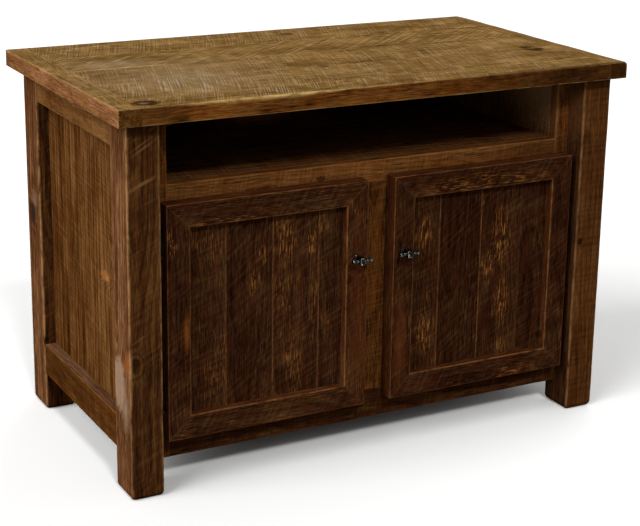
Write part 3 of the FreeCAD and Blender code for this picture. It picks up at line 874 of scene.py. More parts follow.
# Doors: band-sawn pine, wire-brushed so the soft early wood bares in golden flecks under a dark stain.
DOOR_PINE = SawnPine(
    name="brushed_pine_dark_stain",
    face=Tones("#170803", "#311a0e", "#4f351c"), flank=Tones("#261107", "#462511", "#633e23"),
    worn="#885a33", crest="#5a3a20", flush="#401c0c", fleck="#9e642c", saw_spacing=12.0, saw_depth=0.6,
    wear=0.9, ring_contrast=0.2, fibre_contrast=0.7, streak_contrast=0.2, saw_contrast=0.2, fleck_level=0.55,
    spots=(Spot((-65, -272, 356), (7, 10, 11), "#140803"),
           Spot((388, -256, 170), (7, 10, 10), "#140803"),
           Spot((-410, -272, 249), (6, 10, 9), "#180a04"),
           Spot((-46, -272, 290), (26, 9, 230), "#562a12", 0.5, False),
           Spot((47, -272, 215), (17, 9, 120), "#5e3015", 0.6, False),
           Spot((-398, -272, 305), (7, 9, 45), "#84491a", 0.6, False)),
    bare=(Spot((-241, -256, 425), (12, 9, 18)), Spot((-255, -256, 371), (16, 9, 30), strength=0.5),
          Spot((-192, -256, 450), (24, 9, 55)), Spot((-141, -256, 436), (12, 9, 40)),
          Spot((-198, -256, 350), (22, 9, 60), strength=0.5),
          Spot((-178, -256, 209), (20, 9, 60), strength=0.5),
          Spot((-114, -256, 465), (12, 9, 14)), Spot((104, -256, 425), (20, 9, 50)),
          Spot((112, -256, 222), (24, 9, 50)), Spot((284, -256, 390), (24, 9, 65)),
          Spot((255, -256, 332), (16, 9, 36)), Spot((290, -256, 258), (18, 9, 60)),
          Spot((294, -256, 150), (14, 9, 36)), Spot((-317, -272, 504), (90, 9, 9), strength=0.5),
          Spot((-425, -272, 475), (12, 9, 30)), Spot((320, -272, 105), (60, 9, 20), strength=0.5),
          Spot((235, -272, 510), (165, 9, 26), strength=0.45)))
# Inside: rough pine, stained dark and left matt, so the bay soon falls into the dark.
# A pale patch on the bay's right wall is painted light, where light from the front left falls in.
INNER_PINE = SawnPine(
    name="rough_pine_dark_stain",
    face=Tones("#2f190b", "#56371d", "#74502e"), flank=Tones("#391e11", "#673f25", "#8a5c3a"),
    worn="#80592f", crest="#7d5630", flush="#6a3a18", saw_spacing=9.0, crest_share=0.2, wear=0.5,
    # Pale patch on the bay's right wall: painted light.
    roughness=0.7, spots=(Spot((418, -190, 662), (24, 190, 84), "#a8825a", 0.65, False),))
# Knobs: mild steel forged hot and blackened with oil, which leaves a dark, faceted, waxy skin. Its high spots
# carry painted glints: a pale colour where the metal would catch the lamps.
FORGED_IRON = WorkedMetal("forged_iron_blackened", finish="#171514", rubbed="#bab7b4", mark=2.2, depth=0.5,
                          roughness=0.25, rub_size=6.0, rub_level=0.64)
# Hinges and strikes: pressed steel with a bronzed finish, nearly black with a brown cast.
BRONZED_STEEL = WorkedMetal("pressed_steel_bronzed", finish="#3a332c", rubbed="#5a5046", mark=0.8, depth=0.03,
                            roughness=0.4)
# Screws: turned steel, zinc plated and passivated, a pale grey with a soft shine.
ZINC_STEEL = WorkedMetal("turned_steel_zinc_plated", finish="#7c7a76", rubbed="#a3a19c", mark=0.5, depth=0.02,
                         roughness=0.35)
# Catches: acetal moulded over a magnet, dark brown and slightly waxy.
CATCH_ACETAL = MouldedPlastic("moulded_acetal_brown", colour="#2b221d", texture=0.4)


def islands(node: str) -> list[Box]:
    """Boxes of the separate solids in a node of the frame.

    Args:
        node: Name of the node.

    Returns:
        Lowest and highest corner of each, in metres, from low to high.
    """
    same_point = 0.001 * MM
    mesh = bmesh.new()
    mesh.from_mesh(frame["nodes"][node].data)
    bmesh.ops.remove_doubles(mesh, verts=mesh.verts, dist=same_point)
    unseen = set(mesh.verts)
    boxes = []
    while unseen:
        group = [unseen.pop()]
        for vertex in group:
            fresh = {edge.other_vert(vertex) for edge in vertex.link_edges} & unseen
            unseen -= fresh
            group.extend(fresh)
        low = Vector(min(vertex.co[axis] for vertex in group) for axis in range(3))
        high = Vector(max(vertex.co[axis] for vertex in group) for axis in range(3))
        boxes.append((low, high))
    mesh.free()
    return sorted(boxes, key=lambda box: tuple(box[0]))


def between(box: Box, axis: Axis, low: float, high: float, overlap: float = 1.0) -> Box:
    """Part of a box that shows between two neighbours.

    Args:
        box: Box of a node, tenons and tongues included.
        axis: Direction in which the neighbours stand.
        low: Where the lower neighbour ends, in metres.
        high: Where the higher neighbour starts, in metres.
        overlap: How far the piece runs on into each, in millimetres, so that no gap shows.

    Returns:
        The shorter box.
    """
    start, end = box[0].copy(), box[1].copy()
    start[axis.value] = max(start[axis.value], low - overlap * MM)
    end[axis.value] = min(end[axis.value], high + overlap * MM)
    return start, end


@dataclass(frozen=True)
class Eases:
    """Radii of a board's edges in millimetres.

    Attributes:
        face_low: Long edge of the face at the board's low side.
        face_high: Long edge of the face at its high side.
        back_high: Long edge of the back at its high side.
        back_low: Long edge of the back at its low side.
        start: Edges of the near end: at the low side, the high side, the face and the back.
        end: The same for the far end.
    """

    face_low: float = 1.4
    face_high: float = 1.4
    back_high: float = 1.0
    back_low: float = 1.0
    start: Sides = (0.6, 0.6, 0.6, 0.6)
    end: Sides = (0.6, 0.6, 0.6, 0.6)

    @classmethod
    def even(cls, radius: float) -> "Eases":
        """The same radius on all four long edges."""
        return cls(radius, radius, radius, radius)


@dataclass(frozen=True)
class Log:
    """Ranges from which each board's place in its log is drawn, in millimetres.

    Attributes:
        length: Length of the log.
        pith_sides: Place of the pith across the board, as shares of its width.
        pith_depths: Depth of the pith behind the board's face.
        rises: Slope of the pith along the board.
        tint_swing: How much paler or darker than its fellows a board took the stain.
        noise_rows: Room for the boards' edges in the noise.
    """

    length: float = 4000
    pith_sides: tuple[float, float] = (0.15, 0.85)
    pith_depths: tuple[float, float] = (30, 95)
    rises: tuple[float, float] = (0.015, 0.05)
    tint_swing: float = 0.04
    noise_rows: float = 500


@dataclass
class Board:
    """One sawn board, lofted along its grain, with edges that wander as worn edges do.

    Places in it are given in millimetres along the grain, across it, and in from the face.

    Attributes:
        box: The board's box in the frame; every worn surface lies inside it.
        along: Direction of the grain.
        face: Direction that the better face looks along.
        outward: Sign of that direction.
        name: Seed of the board's own figure.
        eases: Radii of its edges.
        mitre: 1 or -1 if both ends are cut at 45 degrees, with the shorter side high or low across.
        saw_slant: Angle of the saw's marks from square across, in degrees.
        saw_coarse: How many times wider than usual the marks are spaced.
        tint: How much paler than usual the stain took.
        wander: How far surfaces wander inward, in millimetres.
        uneven: How much the edges' radii vary, as a share.
        wane: Middle, half-length and depth of a place where the low edge of the face is dressed further.
        arc_steps: Straight steps in each rounded edge.
        station_gap: Distance between the outlines that the board is lofted through.
        face_gap: Distance between points across a face.
        wander_reach: Length of the surfaces' wandering.
        uneven_reach: Length of the edges' unevenness.
        nick_reach: Length of nicks in the edges.
        nick_level: Noise level above which there is a nick; fewer nicks with a higher one.
        nick_depth: Growth of the radius above that level.
        log: Ranges for what is drawn by lot.
        length: Size along the grain.
        width: Size across it.
        depth: Size in from the face.
        corner: The board's own origin, in the frame.
        ways: Directions along the grain, across it and in from the face, in the frame.
        log_place: Place of the board along its log.
        noise_row: Place of its edges in the noise.
        pith: The log's pith: place across, depth at the log's start, and rise along it.
    """

    box: Box
    along: Axis
    face: Axis
    outward: int
    name: str
    eases: Eases = Eases()
    mitre: int = 0
    saw_slant: float = 12.0
    saw_coarse: float = 1.0
    tint: float = 0.0
    wander: float = 0.25
    uneven: float = 0.35
    wane: Place = (0.0, 1.0, 0.0)
    arc_steps: int = 3
    station_gap: float = 15.0
    face_gap: float = 40.0
    wander_reach: float = 70.0
    uneven_reach: float = 45.0
    nick_reach: float = 60.0
    nick_level: float = 0.3
    nick_depth: float = 5.0
    log: Log = Log()
    length: float = field(init=False)
    width: float = field(init=False)
    depth: float = field(init=False)
    corner: Vector = field(init=False)
    ways: list[Vector] = field(init=False)
    log_place: float = field(init=False)
    noise_row: float = field(init=False)
    pith: Place = field(init=False)

    def __post_init__(self) -> None:
        """Set the board's axes and draw its place in the log."""
        draw = random.Random(self.name)
        across = next(axis for axis in Axis if axis not in (self.along, self.face))
        axes = (self.along.value, across.value, self.face.value)
        low, high = self.box
        self.length, self.width, self.depth = ((high[axis] - low[axis]) / MM for axis in axes)
        self.corner = low.copy()
        if self.outward > 0:
            self.corner[self.face.value] = high[self.face.value]
        self.ways = []
        for axis, sign in zip(axes, (1, 1, -self.outward)):
            way = Vector((0, 0, 0))
            way[axis] = sign
            self.ways.append(way)
        self.log_place = draw.uniform(0, self.log.length)
        self.noise_row = draw.uniform(0, self.log.noise_rows)
        rise = draw.choice((-1, 1)) * draw.uniform(*self.log.rises)
        pith_depth = draw.uniform(*self.log.pith_depths) - rise * (self.log_place + self.length / 2)
        self.pith = (draw.uniform(*self.log.pith_sides) * self.width, pith_depth, rise)
        self.tint += draw.uniform(-self.log.tint_swing, self.log.tint_swing)

    def to_frame(self, along: float, across: float, depth: float) -> Vector:
        """Place in the frame of a place in the board."""
        return self.corner + (self.ways[0] * along + self.ways[1] * across + self.ways[2] * depth) * MM

    def to_board(self, point: Vector) -> Place:
        """Place in the board of a place in the frame."""
        return tuple((point - self.corner).dot(way) / MM for way in self.ways)

    def sway(self, place: float, row: float, reach: float) -> float:
        """Smooth noise from -1 to 1 along the board, with features of this reach."""
        row_gap = 7.3
        return noise.noise(Vector((place / reach, row * row_gap, self.noise_row)))

    def span(self, across: float) -> tuple[float, float]:
        """Where the board starts and ends along the grain, at a place across it."""
        cut = {1: across, -1: self.width - across, 0: 0.0}[self.mitre]
        return cut, self.length - cut

    @staticmethod
    def drawn_in(radius: float, distance: float) -> float:
        """How far a rounded end draws a side in.

        Args:
            radius: Radius of the end's edge.
            distance: Distance from that end.

        Returns:
            The side's distance from where it would be on a square end.
        """
        if distance >= radius:
            return 0.0
        return radius - math.sqrt(radius ** 2 - (radius - distance) ** 2)

    @staticmethod
    def rubbed_reach(radius: float) -> float:
        """How far beyond a rounded edge the wear and its painted highlight show, in millimetres."""
        least, share_of_radius = 0.6, 0.6
        return least + share_of_radius * radius

    def radii(self) -> Sides:
        """Radii of the long edges, in the order in which the outline meets them."""
        return self.eases.face_low, self.eases.face_high, self.eases.back_high, self.eases.back_low

    def worn_radius(self, radius: float, place: float, row: int) -> float:
        """Radius of a long edge at a place, with its unevenness and an occasional nick.

        Args:
            radius: Mean radius of the edge.
            place: Distance along the grain.
            row: Which edge, in the order of radii.

        Returns:
            The radius there, less than half of the board.
        """
        nick_row, uneven_row = 20 + row, 10 + row
        nick = max(0.0, self.sway(place, nick_row, self.nick_reach) - self.nick_level) * self.nick_depth
        worn = radius * (1 + self.uneven * self.sway(place, uneven_row, self.uneven_reach))
        worn += nick * self.uneven * min(1.0, radius)
        if row == 0:
            middle, half, extra = self.wane
            worn += extra * max(0.0, 1 - ((place - middle) / half) ** 2)
        most_share = 0.42
        return min(worn, most_share * min(self.width, self.depth))

    def section(self, place: float) -> list[tuple[float, float]]:
        """Outline of the board at a place along it.

        Args:
            place: Distance along the grain.

        Returns:
            Points across and in depth, always the same number of them.
        """
        insets = []
        mean, swing = 0.55, 0.45
        for row in range(4):
            near = self.drawn_in(self.eases.start[row], place)
            far = self.drawn_in(self.eases.end[row], self.length - place)
            wander = self.wander * (mean + swing * self.sway(place, row, self.wander_reach))
            insets.append(max(near, far) + wander)
        low, high = insets[0], self.width - insets[1]
        front, back = insets[2], self.depth - insets[3]
        corners = ((low, front, 1, 1), (high, front, -1, 1), (high, back, -1, -1), (low, back, 1, -1))
        arcs, worn = [], []
        for row, (across, depth, across_sign, depth_sign) in enumerate(corners):
            radius = self.worn_radius(self.radii()[row], place, row)
            worn.append(radius)
            angles = [math.pi * (1 + (row + step / self.arc_steps) / 2)
                      for step in range(self.arc_steps + 1)]
            arcs.append([(across + radius * (across_sign + math.cos(angle)),
                          depth + radius * (depth_sign + math.sin(angle))) for angle in angles])
        outline = []
        for row, arc in enumerate(arcs):
            outline.extend(arc)
            start, end = arc[-1], arcs[(row + 1) % 4][0]
            outline.extend(self.side_points(start, end, worn[row], worn[(row + 1) % 4], row))
        return outline

    def side_points(self, start: tuple[float, float], end: tuple[float, float], near: float, far: float,
                    row: int) -> list[tuple[float, float]]:
        """Points along one straight side of the outline.

        Args:
            start: Where the side leaves one rounded edge.
            end: Where it meets the next.
            near: Radius of the first edge.
            far: Radius of the second.
            row: Which side: 0 face, 1 high, 2 back, 3 low.

        Returns:
            One point where each rubbed band ends, and some between them on a wide side.
        """
        gap = math.dist(start, end)
        widest_band = 0.4
        first = min(self.rubbed_reach(near) / gap, widest_band)
        last = 1 - min(self.rubbed_reach(far) / gap, widest_band)
        count = max(1, round((self.width if row in (0, 2) else self.depth) / self.face_gap))
        shares = [first + (last - first) * step / count for step in range(count + 1)]
        return [(start[0] + (end[0] - start[0]) * share, start[1] + (end[1] - start[1]) * share)
                for share in shares]

    def stations(self) -> list[float]:
        """Places along the board at which its outline is drawn, closer at its rounded ends.

        Returns:
            Distances along the grain, from its start to its end.
        """
        near, far = max(self.eases.start), max(self.eases.end)
        places = {0.0, self.length}
        shares_of_radius = (0.05, 0.2, 0.5, 1.0)
        for share in shares_of_radius:
            places |= {near * share, self.length - far * share}
        start, end = near + self.rubbed_reach(near), self.length - far - self.rubbed_reach(far)
        count = max(1, round((end - start) / self.station_gap))
        places |= {start + (end - start) * step / count for step in range(count + 1)}
        return sorted(places)

    def loft(self) -> tuple[list[Place], list[tuple[int, ...]]]:
        """Skin of the board.

        Returns:
            Points in the board, and faces as indices into them.
        """
        points, faces = [], []
        stations = self.stations()
        for place in stations:
            for across, depth in self.section(place):
                start, end = self.span(across)
                points.append((start + (end - start) * place / self.length, across, depth))
        size = len(points) // len(stations)
        rim_share = 0.15
        for row in range(len(stations) - 1):
            for column in range(size):
                beside = (column + 1) % size
                faces.append((row * size + column, row * size + beside,
                              (row + 1) * size + beside, (row + 1) * size + column))
        for ring, along in ((range(size), 0.0), (range(len(points) - size, len(points)), self.length)):
            first = len(points)
            middle = [sum(points[index][axis] for index in ring) / size for axis in (1, 2)]
            for index in ring:
                across, depth = (points[index][axis] * (1 - rim_share) + middle[axis - 1] * rim_share
                                 for axis in (1, 2))
                points.append((self.span(across)[along > 0], across, depth))
            inner = range(first, len(points))
            faces.extend((ring[step], ring[(step + 1) % size], inner[(step + 1) % size], inner[step])
                         for step in range(size))
            faces.append(tuple(inner))
        return points, faces

    def edge_marks(self, place: Place) -> Place:
        """What the stain shows at a place near the board's edges.

        Args:
            place: Place in the board.

        Returns:
            Wear with painted highlight from 0 to 1, 1 on a cut end, and 1 on a narrow side.
        """
        along, across, depth = place
        start, end = self.span(across)
        to_end = max(0.0, min(along - start, end - along))
        to_side, to_face = min(across, self.width - across), min(depth, self.depth - depth)
        row = (0 if across < self.width / 2 else 1) if depth < self.depth / 2 else (
            3 if across < self.width / 2 else 2)
        radius = self.worn_radius(self.radii()[row], along, row)
        ends = self.eases.start if along < self.length / 2 else self.eases.end
        to_edge, end_ease = min(zip((across, self.width - across, depth, self.depth - depth), ends))
        most_end_wear, fully_worn = 2.5, 0.9
        end_radius = min(most_end_wear, end_ease)
        marks = ((math.hypot(to_side, to_face), radius), (math.hypot(to_end, to_edge), end_radius))
        rubbing = max((1 - distance / (edge + self.rubbed_reach(edge))) * min(1.0, edge / fully_worn)
                      for distance, edge in marks)
        narrow = min(1.0, max(0.0, 0.5 + (to_face - to_side) / 2))
        skin_depth = 0.03
        cut_end = float(to_end < skin_depth)
        return max(0.0, rubbing), cut_end, max(narrow, cut_end)


@dataclass
class BoardWork:
    """Boards that stand for one node of the frame, as one piece.

    Attributes:
        node: The node.
        boards: Its boards.
        notches: Boxes that are cut out of them, for hinges.
    """

    node: str
    boards: list[Board]
    notches: list[Box] = field(default_factory=list)

    def build(self, material: bpy.types.Material) -> bpy.types.Object:
        """Make the piece and give it its finish.

        Args:
            material: The finish.

        Returns:
            The piece, riding on its body.
        """
        points, faces, owners = [], [], []
        for board in self.boards:
            first = len(points)
            skin, skin_faces = board.loft()
            points.extend(board.to_frame(*place) for place in skin)
            owners.extend([board] * len(skin))
            faces.extend(tuple(first + index for index in face) for face in skin_faces)
        mesh = bpy.data.meshes.new(f"{self.node}_wood")
        mesh.from_pydata(points, [], faces)
        if self.notches:
            mesh = self.cut(mesh)
            owners = [self.boards[0]] * len(mesh.vertices)
        self.tidy(mesh)
        self.mark(mesh, owners)
        mesh.materials.append(material)
        piece = bpy.data.objects.new(f"{self.node}_wood", mesh)
        bpy.context.scene.collection.objects.link(piece)
        return stand_for(piece, self.node)

    def cut(self, mesh: bpy.types.Mesh) -> bpy.types.Mesh:
        """Cut the notches out of a mesh.

        Args:
            mesh: Mesh of the boards.

        Returns:
            The mesh with its notches.
        """
        cutter = bmesh.new()
        for low, high in self.notches:
            centre, size = (low + high) / 2, high - low
            placed = Matrix.Translation(centre) @ Matrix.Diagonal((*size, 1.0))
            bmesh.ops.create_cube(cutter, size=1.0, matrix=placed)
        cutter_mesh = bpy.data.meshes.new("notches")
        cutter.to_mesh(cutter_mesh)
        cutter.free()
        blank, tool = bpy.data.objects.new("blank", mesh), bpy.data.objects.new("notches", cutter_mesh)
        for piece in (blank, tool):
            bpy.context.scene.collection.objects.link(piece)
        notching = blank.modifiers.new("notches", "BOOLEAN")
        notching.operation, notching.solver, notching.object = "DIFFERENCE", "EXACT", tool
        evaluated = blank.evaluated_get(bpy.context.evaluated_depsgraph_get())
        notched = bpy.data.meshes.new_from_object(evaluated)
        notched.name = f"{self.node}_wood"
        for piece in (blank, tool):
            bpy.data.objects.remove(piece)
        return notched

    @staticmethod
    def tidy(mesh: bpy.types.Mesh) -> None:
        """Turn a mesh's faces outward and shade them smooth, but for the sharp sides of notches.

        Args:
            mesh: The mesh.
        """
        sharp = math.radians(60)
        skin = bmesh.new()
        skin.from_mesh(mesh)
        bmesh.ops.recalc_face_normals(skin, faces=skin.faces)
        for face in skin.faces:
            face.smooth = True
        for edge in skin.edges:
            edge.smooth = edge.calc_face_angle(0.0) < sharp
        skin.to_mesh(mesh)
        skin.free()

    @staticmethod
    def mark(mesh: bpy.types.Mesh, owners: list[Board]) -> None:
        """Write what the wood's shader reads at each vertex.

        Args:
            mesh: Mesh in the frame.
            owners: Board that each vertex belongs to.
        """
        values = {"grain": [], "board": [], "pith": [], "edges": []}
        for vertex, board in zip(mesh.vertices, owners):
            place = board.to_board(vertex.co)
            values["grain"].extend((place[0] + board.log_place, place[1], place[2]))
            values["board"].extend((board.tint, math.radians(board.saw_slant), board.saw_coarse))
            values["pith"].extend(board.pith)
            values["edges"].extend(board.edge_marks(place))
        for name, numbers in values.items():
            mesh.attributes.new(name, "FLOAT_VECTOR", "POINT").data.foreach_set("vector", numbers)


def stand_for(piece: bpy.types.Object, node: str) -> bpy.types.Object:
    """Let a piece take a node's place and body.

    Args:
        piece: The piece, in the frame.
        node: The node that it replaces.

    Returns:
        The piece.
    """
    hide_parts(node)
    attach(piece, BODY_OF[node])
    LOG.info("%s stands for %s and rides on %s", piece.name, node, BODY_OF[node])
    return piece


@dataclass
class Tabletop:
    """Five planks side by side, held flat by a cross-grain board at each end.

    Attributes:
        joint_ease: Radius of the edges where planks meet, in millimetres.
        butt_ease: Radius of the planks' ends and of the end boards' inner corners.
        front_ease: Radius of the worn front edge.
        outer_ease: Radius of the other upper edges.
        right_ease: Radius of the upper edge at the right end, the most rounded.
        under_ease: Radius of the lower edges.
        corner_eases: Radius of the corners seen from above, at the left and the right end.
        wanes: Middle, half-length and depth of the place where each plank's front edge is worn further; the
            wider pale band there is partly painted highlight where the lacquer catches light.
        saw_slants: Angles of the saw's marks in degrees, from the front plank to the back.
        saw_coarse: How much wider than usual the marks are, from front to back.
        tints: How much paler than usual each plank is, from front to back.
        uneven: How much the planks' radii vary, as a share.
    """

    joint_ease: float = 0.5
    butt_ease: float = 0.1
    front_ease: float = 1.6
    outer_ease: float = 1.8
    right_ease: float = 7.0
    under_ease: float = 0.6
    corner_eases: tuple[float, float] = (1.5, 8.0)
    wanes: Sequence[Place] = ((225.0, 170.0, 3.2), (930.0, 70.0, 2.6), (950.0, 50.0, 2.6), (90.0, 110.0, 2.6),
                              (950.0, 45.0, 2.6))
    saw_slants: Sequence[float] = (24.0, 22.0, 20.0, 51.0, 24.0)
    saw_coarse: Sequence[float] = (1.0, 1.0, 1.1, 2.2, 1.1)
    tints: Sequence[float] = (0.03, 0.0, -0.03, 0.0, 0.0)
    uneven: float = 0.4

    def build(self) -> None:
        """Make the planks and the end boards."""
        wood, end_wood = TOP_PINE.material(), TOP_END_PINE.material()
        butt = (self.butt_ease,) * 4
        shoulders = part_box("top_end_left")[1].x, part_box("top_end_right")[0].x
        last = len(self.saw_slants) - 1
        for index, slant in enumerate(self.saw_slants):
            node = f"top_plank_{index + 1}"
            eases = Eases(face_low=self.joint_ease if index else self.front_ease,
                          back_low=self.joint_ease if index else self.under_ease,
                          face_high=self.outer_ease if index == last else self.joint_ease,
                          back_high=self.under_ease if index == last else self.joint_ease,
                          start=butt, end=butt)
            plank = Board(between(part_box(node), Axis.X, *shoulders, 0.0), Axis.X, Axis.Z, 1, node, eases,
                          saw_slant=slant, saw_coarse=self.saw_coarse[index], tint=self.tints[index],
                          uneven=self.uneven, wane=self.wanes[index])
            BoardWork(node, [plank]).build(wood)
        for hand, corner in zip(Hand, self.corner_eases):
            node = f"top_end_{hand.word}"
            upper = self.outer_ease if hand is Hand.LEFT else self.right_ease
            outer, inner = (upper, self.under_ease), (self.joint_ease, self.joint_ease)
            low, high = (outer, inner) if hand is Hand.LEFT else (inner, outer)
            corners = (corner, self.butt_ease)[::-hand.value]
            eases = Eases(low[0], high[0], high[1], low[1],
                          start=(*corners, self.front_ease, self.under_ease),
                          end=(*corners, self.outer_ease, self.under_ease))
            BoardWork(node, [Board(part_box(node), Axis.Y, Axis.Z, 1, node, eases)]).build(end_wood)


@dataclass
class Posts:
    """The four square posts.

    Attributes:
        arris: Radius of the long edges in millimetres.
        foot: Radius to which the feet are eased.
        saw_slants: Angles of the saw's marks on the left-hand and right-hand posts, in degrees.
    """

    arris: float = 2.8
    foot: float = 10.0
    saw_slants: tuple[float, float] = (28.0, 3.0)

    def build(self) -> None:
        """Make the posts."""
        feet = (self.foot,) * 4
        for hand, pine, slant in zip(Hand, (POST_PINE, POST_RIGHT_PINE), self.saw_slants):
            wood = pine.material()
            for place, outward in (("front", -1), ("back", 1)):
                node = f"leg_{place}_{hand.word}"
                post = Board(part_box(node), Axis.Z, Axis.Y, outward, node,
                             replace(Eases.even(self.arris), start=feet), saw_slant=slant)
                BoardWork(node, [post]).build(wood)


@dataclass
class SideFrames:
    """Rails and upright boards between the posts of each side.

    Attributes:
        rail_ease: Radius of the rails' edges in millimetres.
        rail_tints: How much paler than usual the stain took on the bottom and the top rail; the top rail's
            paleness is partly painted light against the shade under the top's overhang.
        board_ease: Radius of the boards' edges.
        front_tint: How much paler than usual the stain took on the front board.
        tint_fall: How much less pale each board behind it is.
    """

    rail_ease: float = 1.8
    # The top rail is paler partly as painted light, against the shade that the top casts on it.
    rail_tints: tuple[float, float] = (-0.08, 0.18)
    board_ease: float = 0.9
    front_tint: float = 0.12
    tint_fall: float = 0.06

    def build(self) -> None:
        """Make both sides."""
        wood, rail_wood = SIDE_PINE.material(), SIDE_RAIL_PINE.material()
        for hand in Hand:
            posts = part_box(f"leg_front_{hand.word}")[1].y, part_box(f"leg_back_{hand.word}")[0].y
            bottom, top = (f"side_{place}_rail_{hand.word}" for place in ("bottom", "top"))
            for node, tint in zip((bottom, top), self.rail_tints):
                rail = Board(between(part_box(node), Axis.Y, *posts), Axis.Y, Axis.X, hand.value, node,
                             Eases.even(self.rail_ease), tint=tint)
                BoardWork(node, [rail]).build(rail_wood)
            node = f"side_panel_{hand.word}"
            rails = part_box(bottom)[1].z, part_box(top)[0].z
            boards = [Board(between(box, Axis.Z, *rails), Axis.Z, Axis.X, hand.value, f"{node}_{index}",
                            Eases.even(self.board_ease), tint=self.front_tint - self.tint_fall * index)
                      for index, box in enumerate(islands(node))]
            BoardWork(node, boards).build(wood)


@dataclass
class FaceFrame:
    """Stiles and rails behind the doors, set back between the front posts.

    Attributes:
        ease: Radius of the edges in millimetres.
        stile_tints: How much paler than usual the stain took on the left and the right stile.
        centre_tint: The same for the centre stile.
        flange: Width of a hinge's flange, which is let into the stile.
        play: Room left round the flange.
    """

    ease: float = 1.5
    stile_tints: tuple[float, float] = (-0.28, -0.28)
    centre_tint: float = -0.24
    flange: float = 20.0
    play: float = 0.2

    def build(self) -> None:
        """Make the stiles, the rails and the centre stile."""
        wood = FRAME_PINE.material()
        rail_woods = {"shelf_rail": wood, "bottom_rail": FRAME_LOW_PINE.material()}
        for hand, tint in zip(Hand, self.stile_tints):
            node = f"{hand.word}_stile"
            stile = Board(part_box(node), Axis.Z, Axis.Y, -1, node, Eases.even(self.ease), tint=tint)
            BoardWork(node, [stile], self.hinge_seats(hand)).build(wood)
        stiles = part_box("left_stile")[1].x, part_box("right_stile")[0].x
        for node, rail_wood in rail_woods.items():
            rail = Board(between(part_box(node), Axis.X, *stiles), Axis.X, Axis.Y, -1, node,
                         Eases.even(self.ease))
            BoardWork(node, [rail]).build(rail_wood)
        node = "centre_stile"
        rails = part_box("bottom_rail")[1].z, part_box("shelf_rail")[0].z
        stile = Board(between(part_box(node), Axis.Z, *rails), Axis.Z, Axis.Y, -1, node, Eases.even(self.ease),
                      tint=self.centre_tint)
        BoardWork(node, [stile]).build(wood)

    def hinge_seats(self, hand: Hand) -> list[Box]:
        """Recesses for the hinges' flanges in one stile.

        Args:
            hand: Which stile.

        Returns:
            Boxes to cut away.
        """
        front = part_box(f"{hand.word}_stile")[0].y
        seats = []
        for low, high in islands("frame_hinge_leaves"):
            if low.x * hand.value < 0:
                continue
            outer = high.x if hand is Hand.RIGHT else low.x
            inner = outer - hand.value * self.flange * MM
            play = Vector((self.play * MM, 0, self.play * MM))
            seats.append((Vector((min(outer, inner), front - MM, low.z)) - play,
                          Vector((max(outer, inner), high.y, high.z)) + play))
        return seats


@dataclass
class InnerBox:
    """Linings, battens, cleats, bay shelf and cabinet floor.

    Attributes:
        ease: Radius of the edges in millimetres.
        shelf_tint: How much paler than usual the stain took on the bay's shelf.
    """

    ease: float = 0.8
    shelf_tint: float = -0.15

    def build(self) -> None:
        """Make all the inner boards."""
        wood = INNER_PINE.material()
        for node in ("lining_boards", "lining_battens", "cleats", "shelf_boards", "floor_boards"):
            boards = [self.lying(node, index, box) for index, box in enumerate(islands(node))]
            BoardWork(node, boards).build(wood)

    def lying(self, node: str, index: int, box: Box) -> Board:
        """One inner board, with its grain along its longest side and its face inward or up.

        Args:
            node: Node that it belongs to.
            index: Its place in the node.
            box: Its box.

        Returns:
            The board.
        """
        low, high = box
        order = sorted(Axis, key=lambda axis: high[axis.value] - low[axis.value])
        face, along = order[0], order[-1]
        outward = 1 if face is Axis.Z or low[face.value] < 0 else -1
        return Board(box, along, face, outward, f"{node}_{index}", Eases.even(self.ease),
                     tint=self.shelf_tint if node == "shelf_boards" else 0.0)


@dataclass
class BackPanel:
    """Upright boards and two rails that close the back.

    Attributes:
        rail_ease: Radius of the rails' edges in millimetres.
        board_ease: Radius of the boards' edges.
        lap: How far each board runs on past the middle of a joint, so that no light comes through.
    """

    rail_ease: float = 1.6
    board_ease: float = 0.9
    lap: float = 0.5

    def build(self) -> None:
        """Make the rails and the boards."""
        wood = INNER_PINE.material()
        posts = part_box("leg_back_left")[1].x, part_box("leg_back_right")[0].x
        rails = [Board(between(box, Axis.X, *posts), Axis.X, Axis.Y, 1, f"back_rail_{index}",
                       Eases.even(self.rail_ease)) for index, box in enumerate(islands("back_rails"))]
        BoardWork("back_rails", rails).build(wood)
        boxes = islands("back_boards")
        for left, right in permutations(boxes, 2):
            if 0 < right[0].x - left[1].x < MM:
                middle = (left[1].x + right[0].x) / 2
                left[1].x, right[0].x = middle + self.lap * MM, middle - self.lap * MM
        boards = [Board(box, Axis.Z, Axis.Y, 1, f"back_board_{index}", Eases.even(self.board_ease))
                  for index, box in enumerate(boxes)]
        BoardWork("back_boards", boards).build(wood)


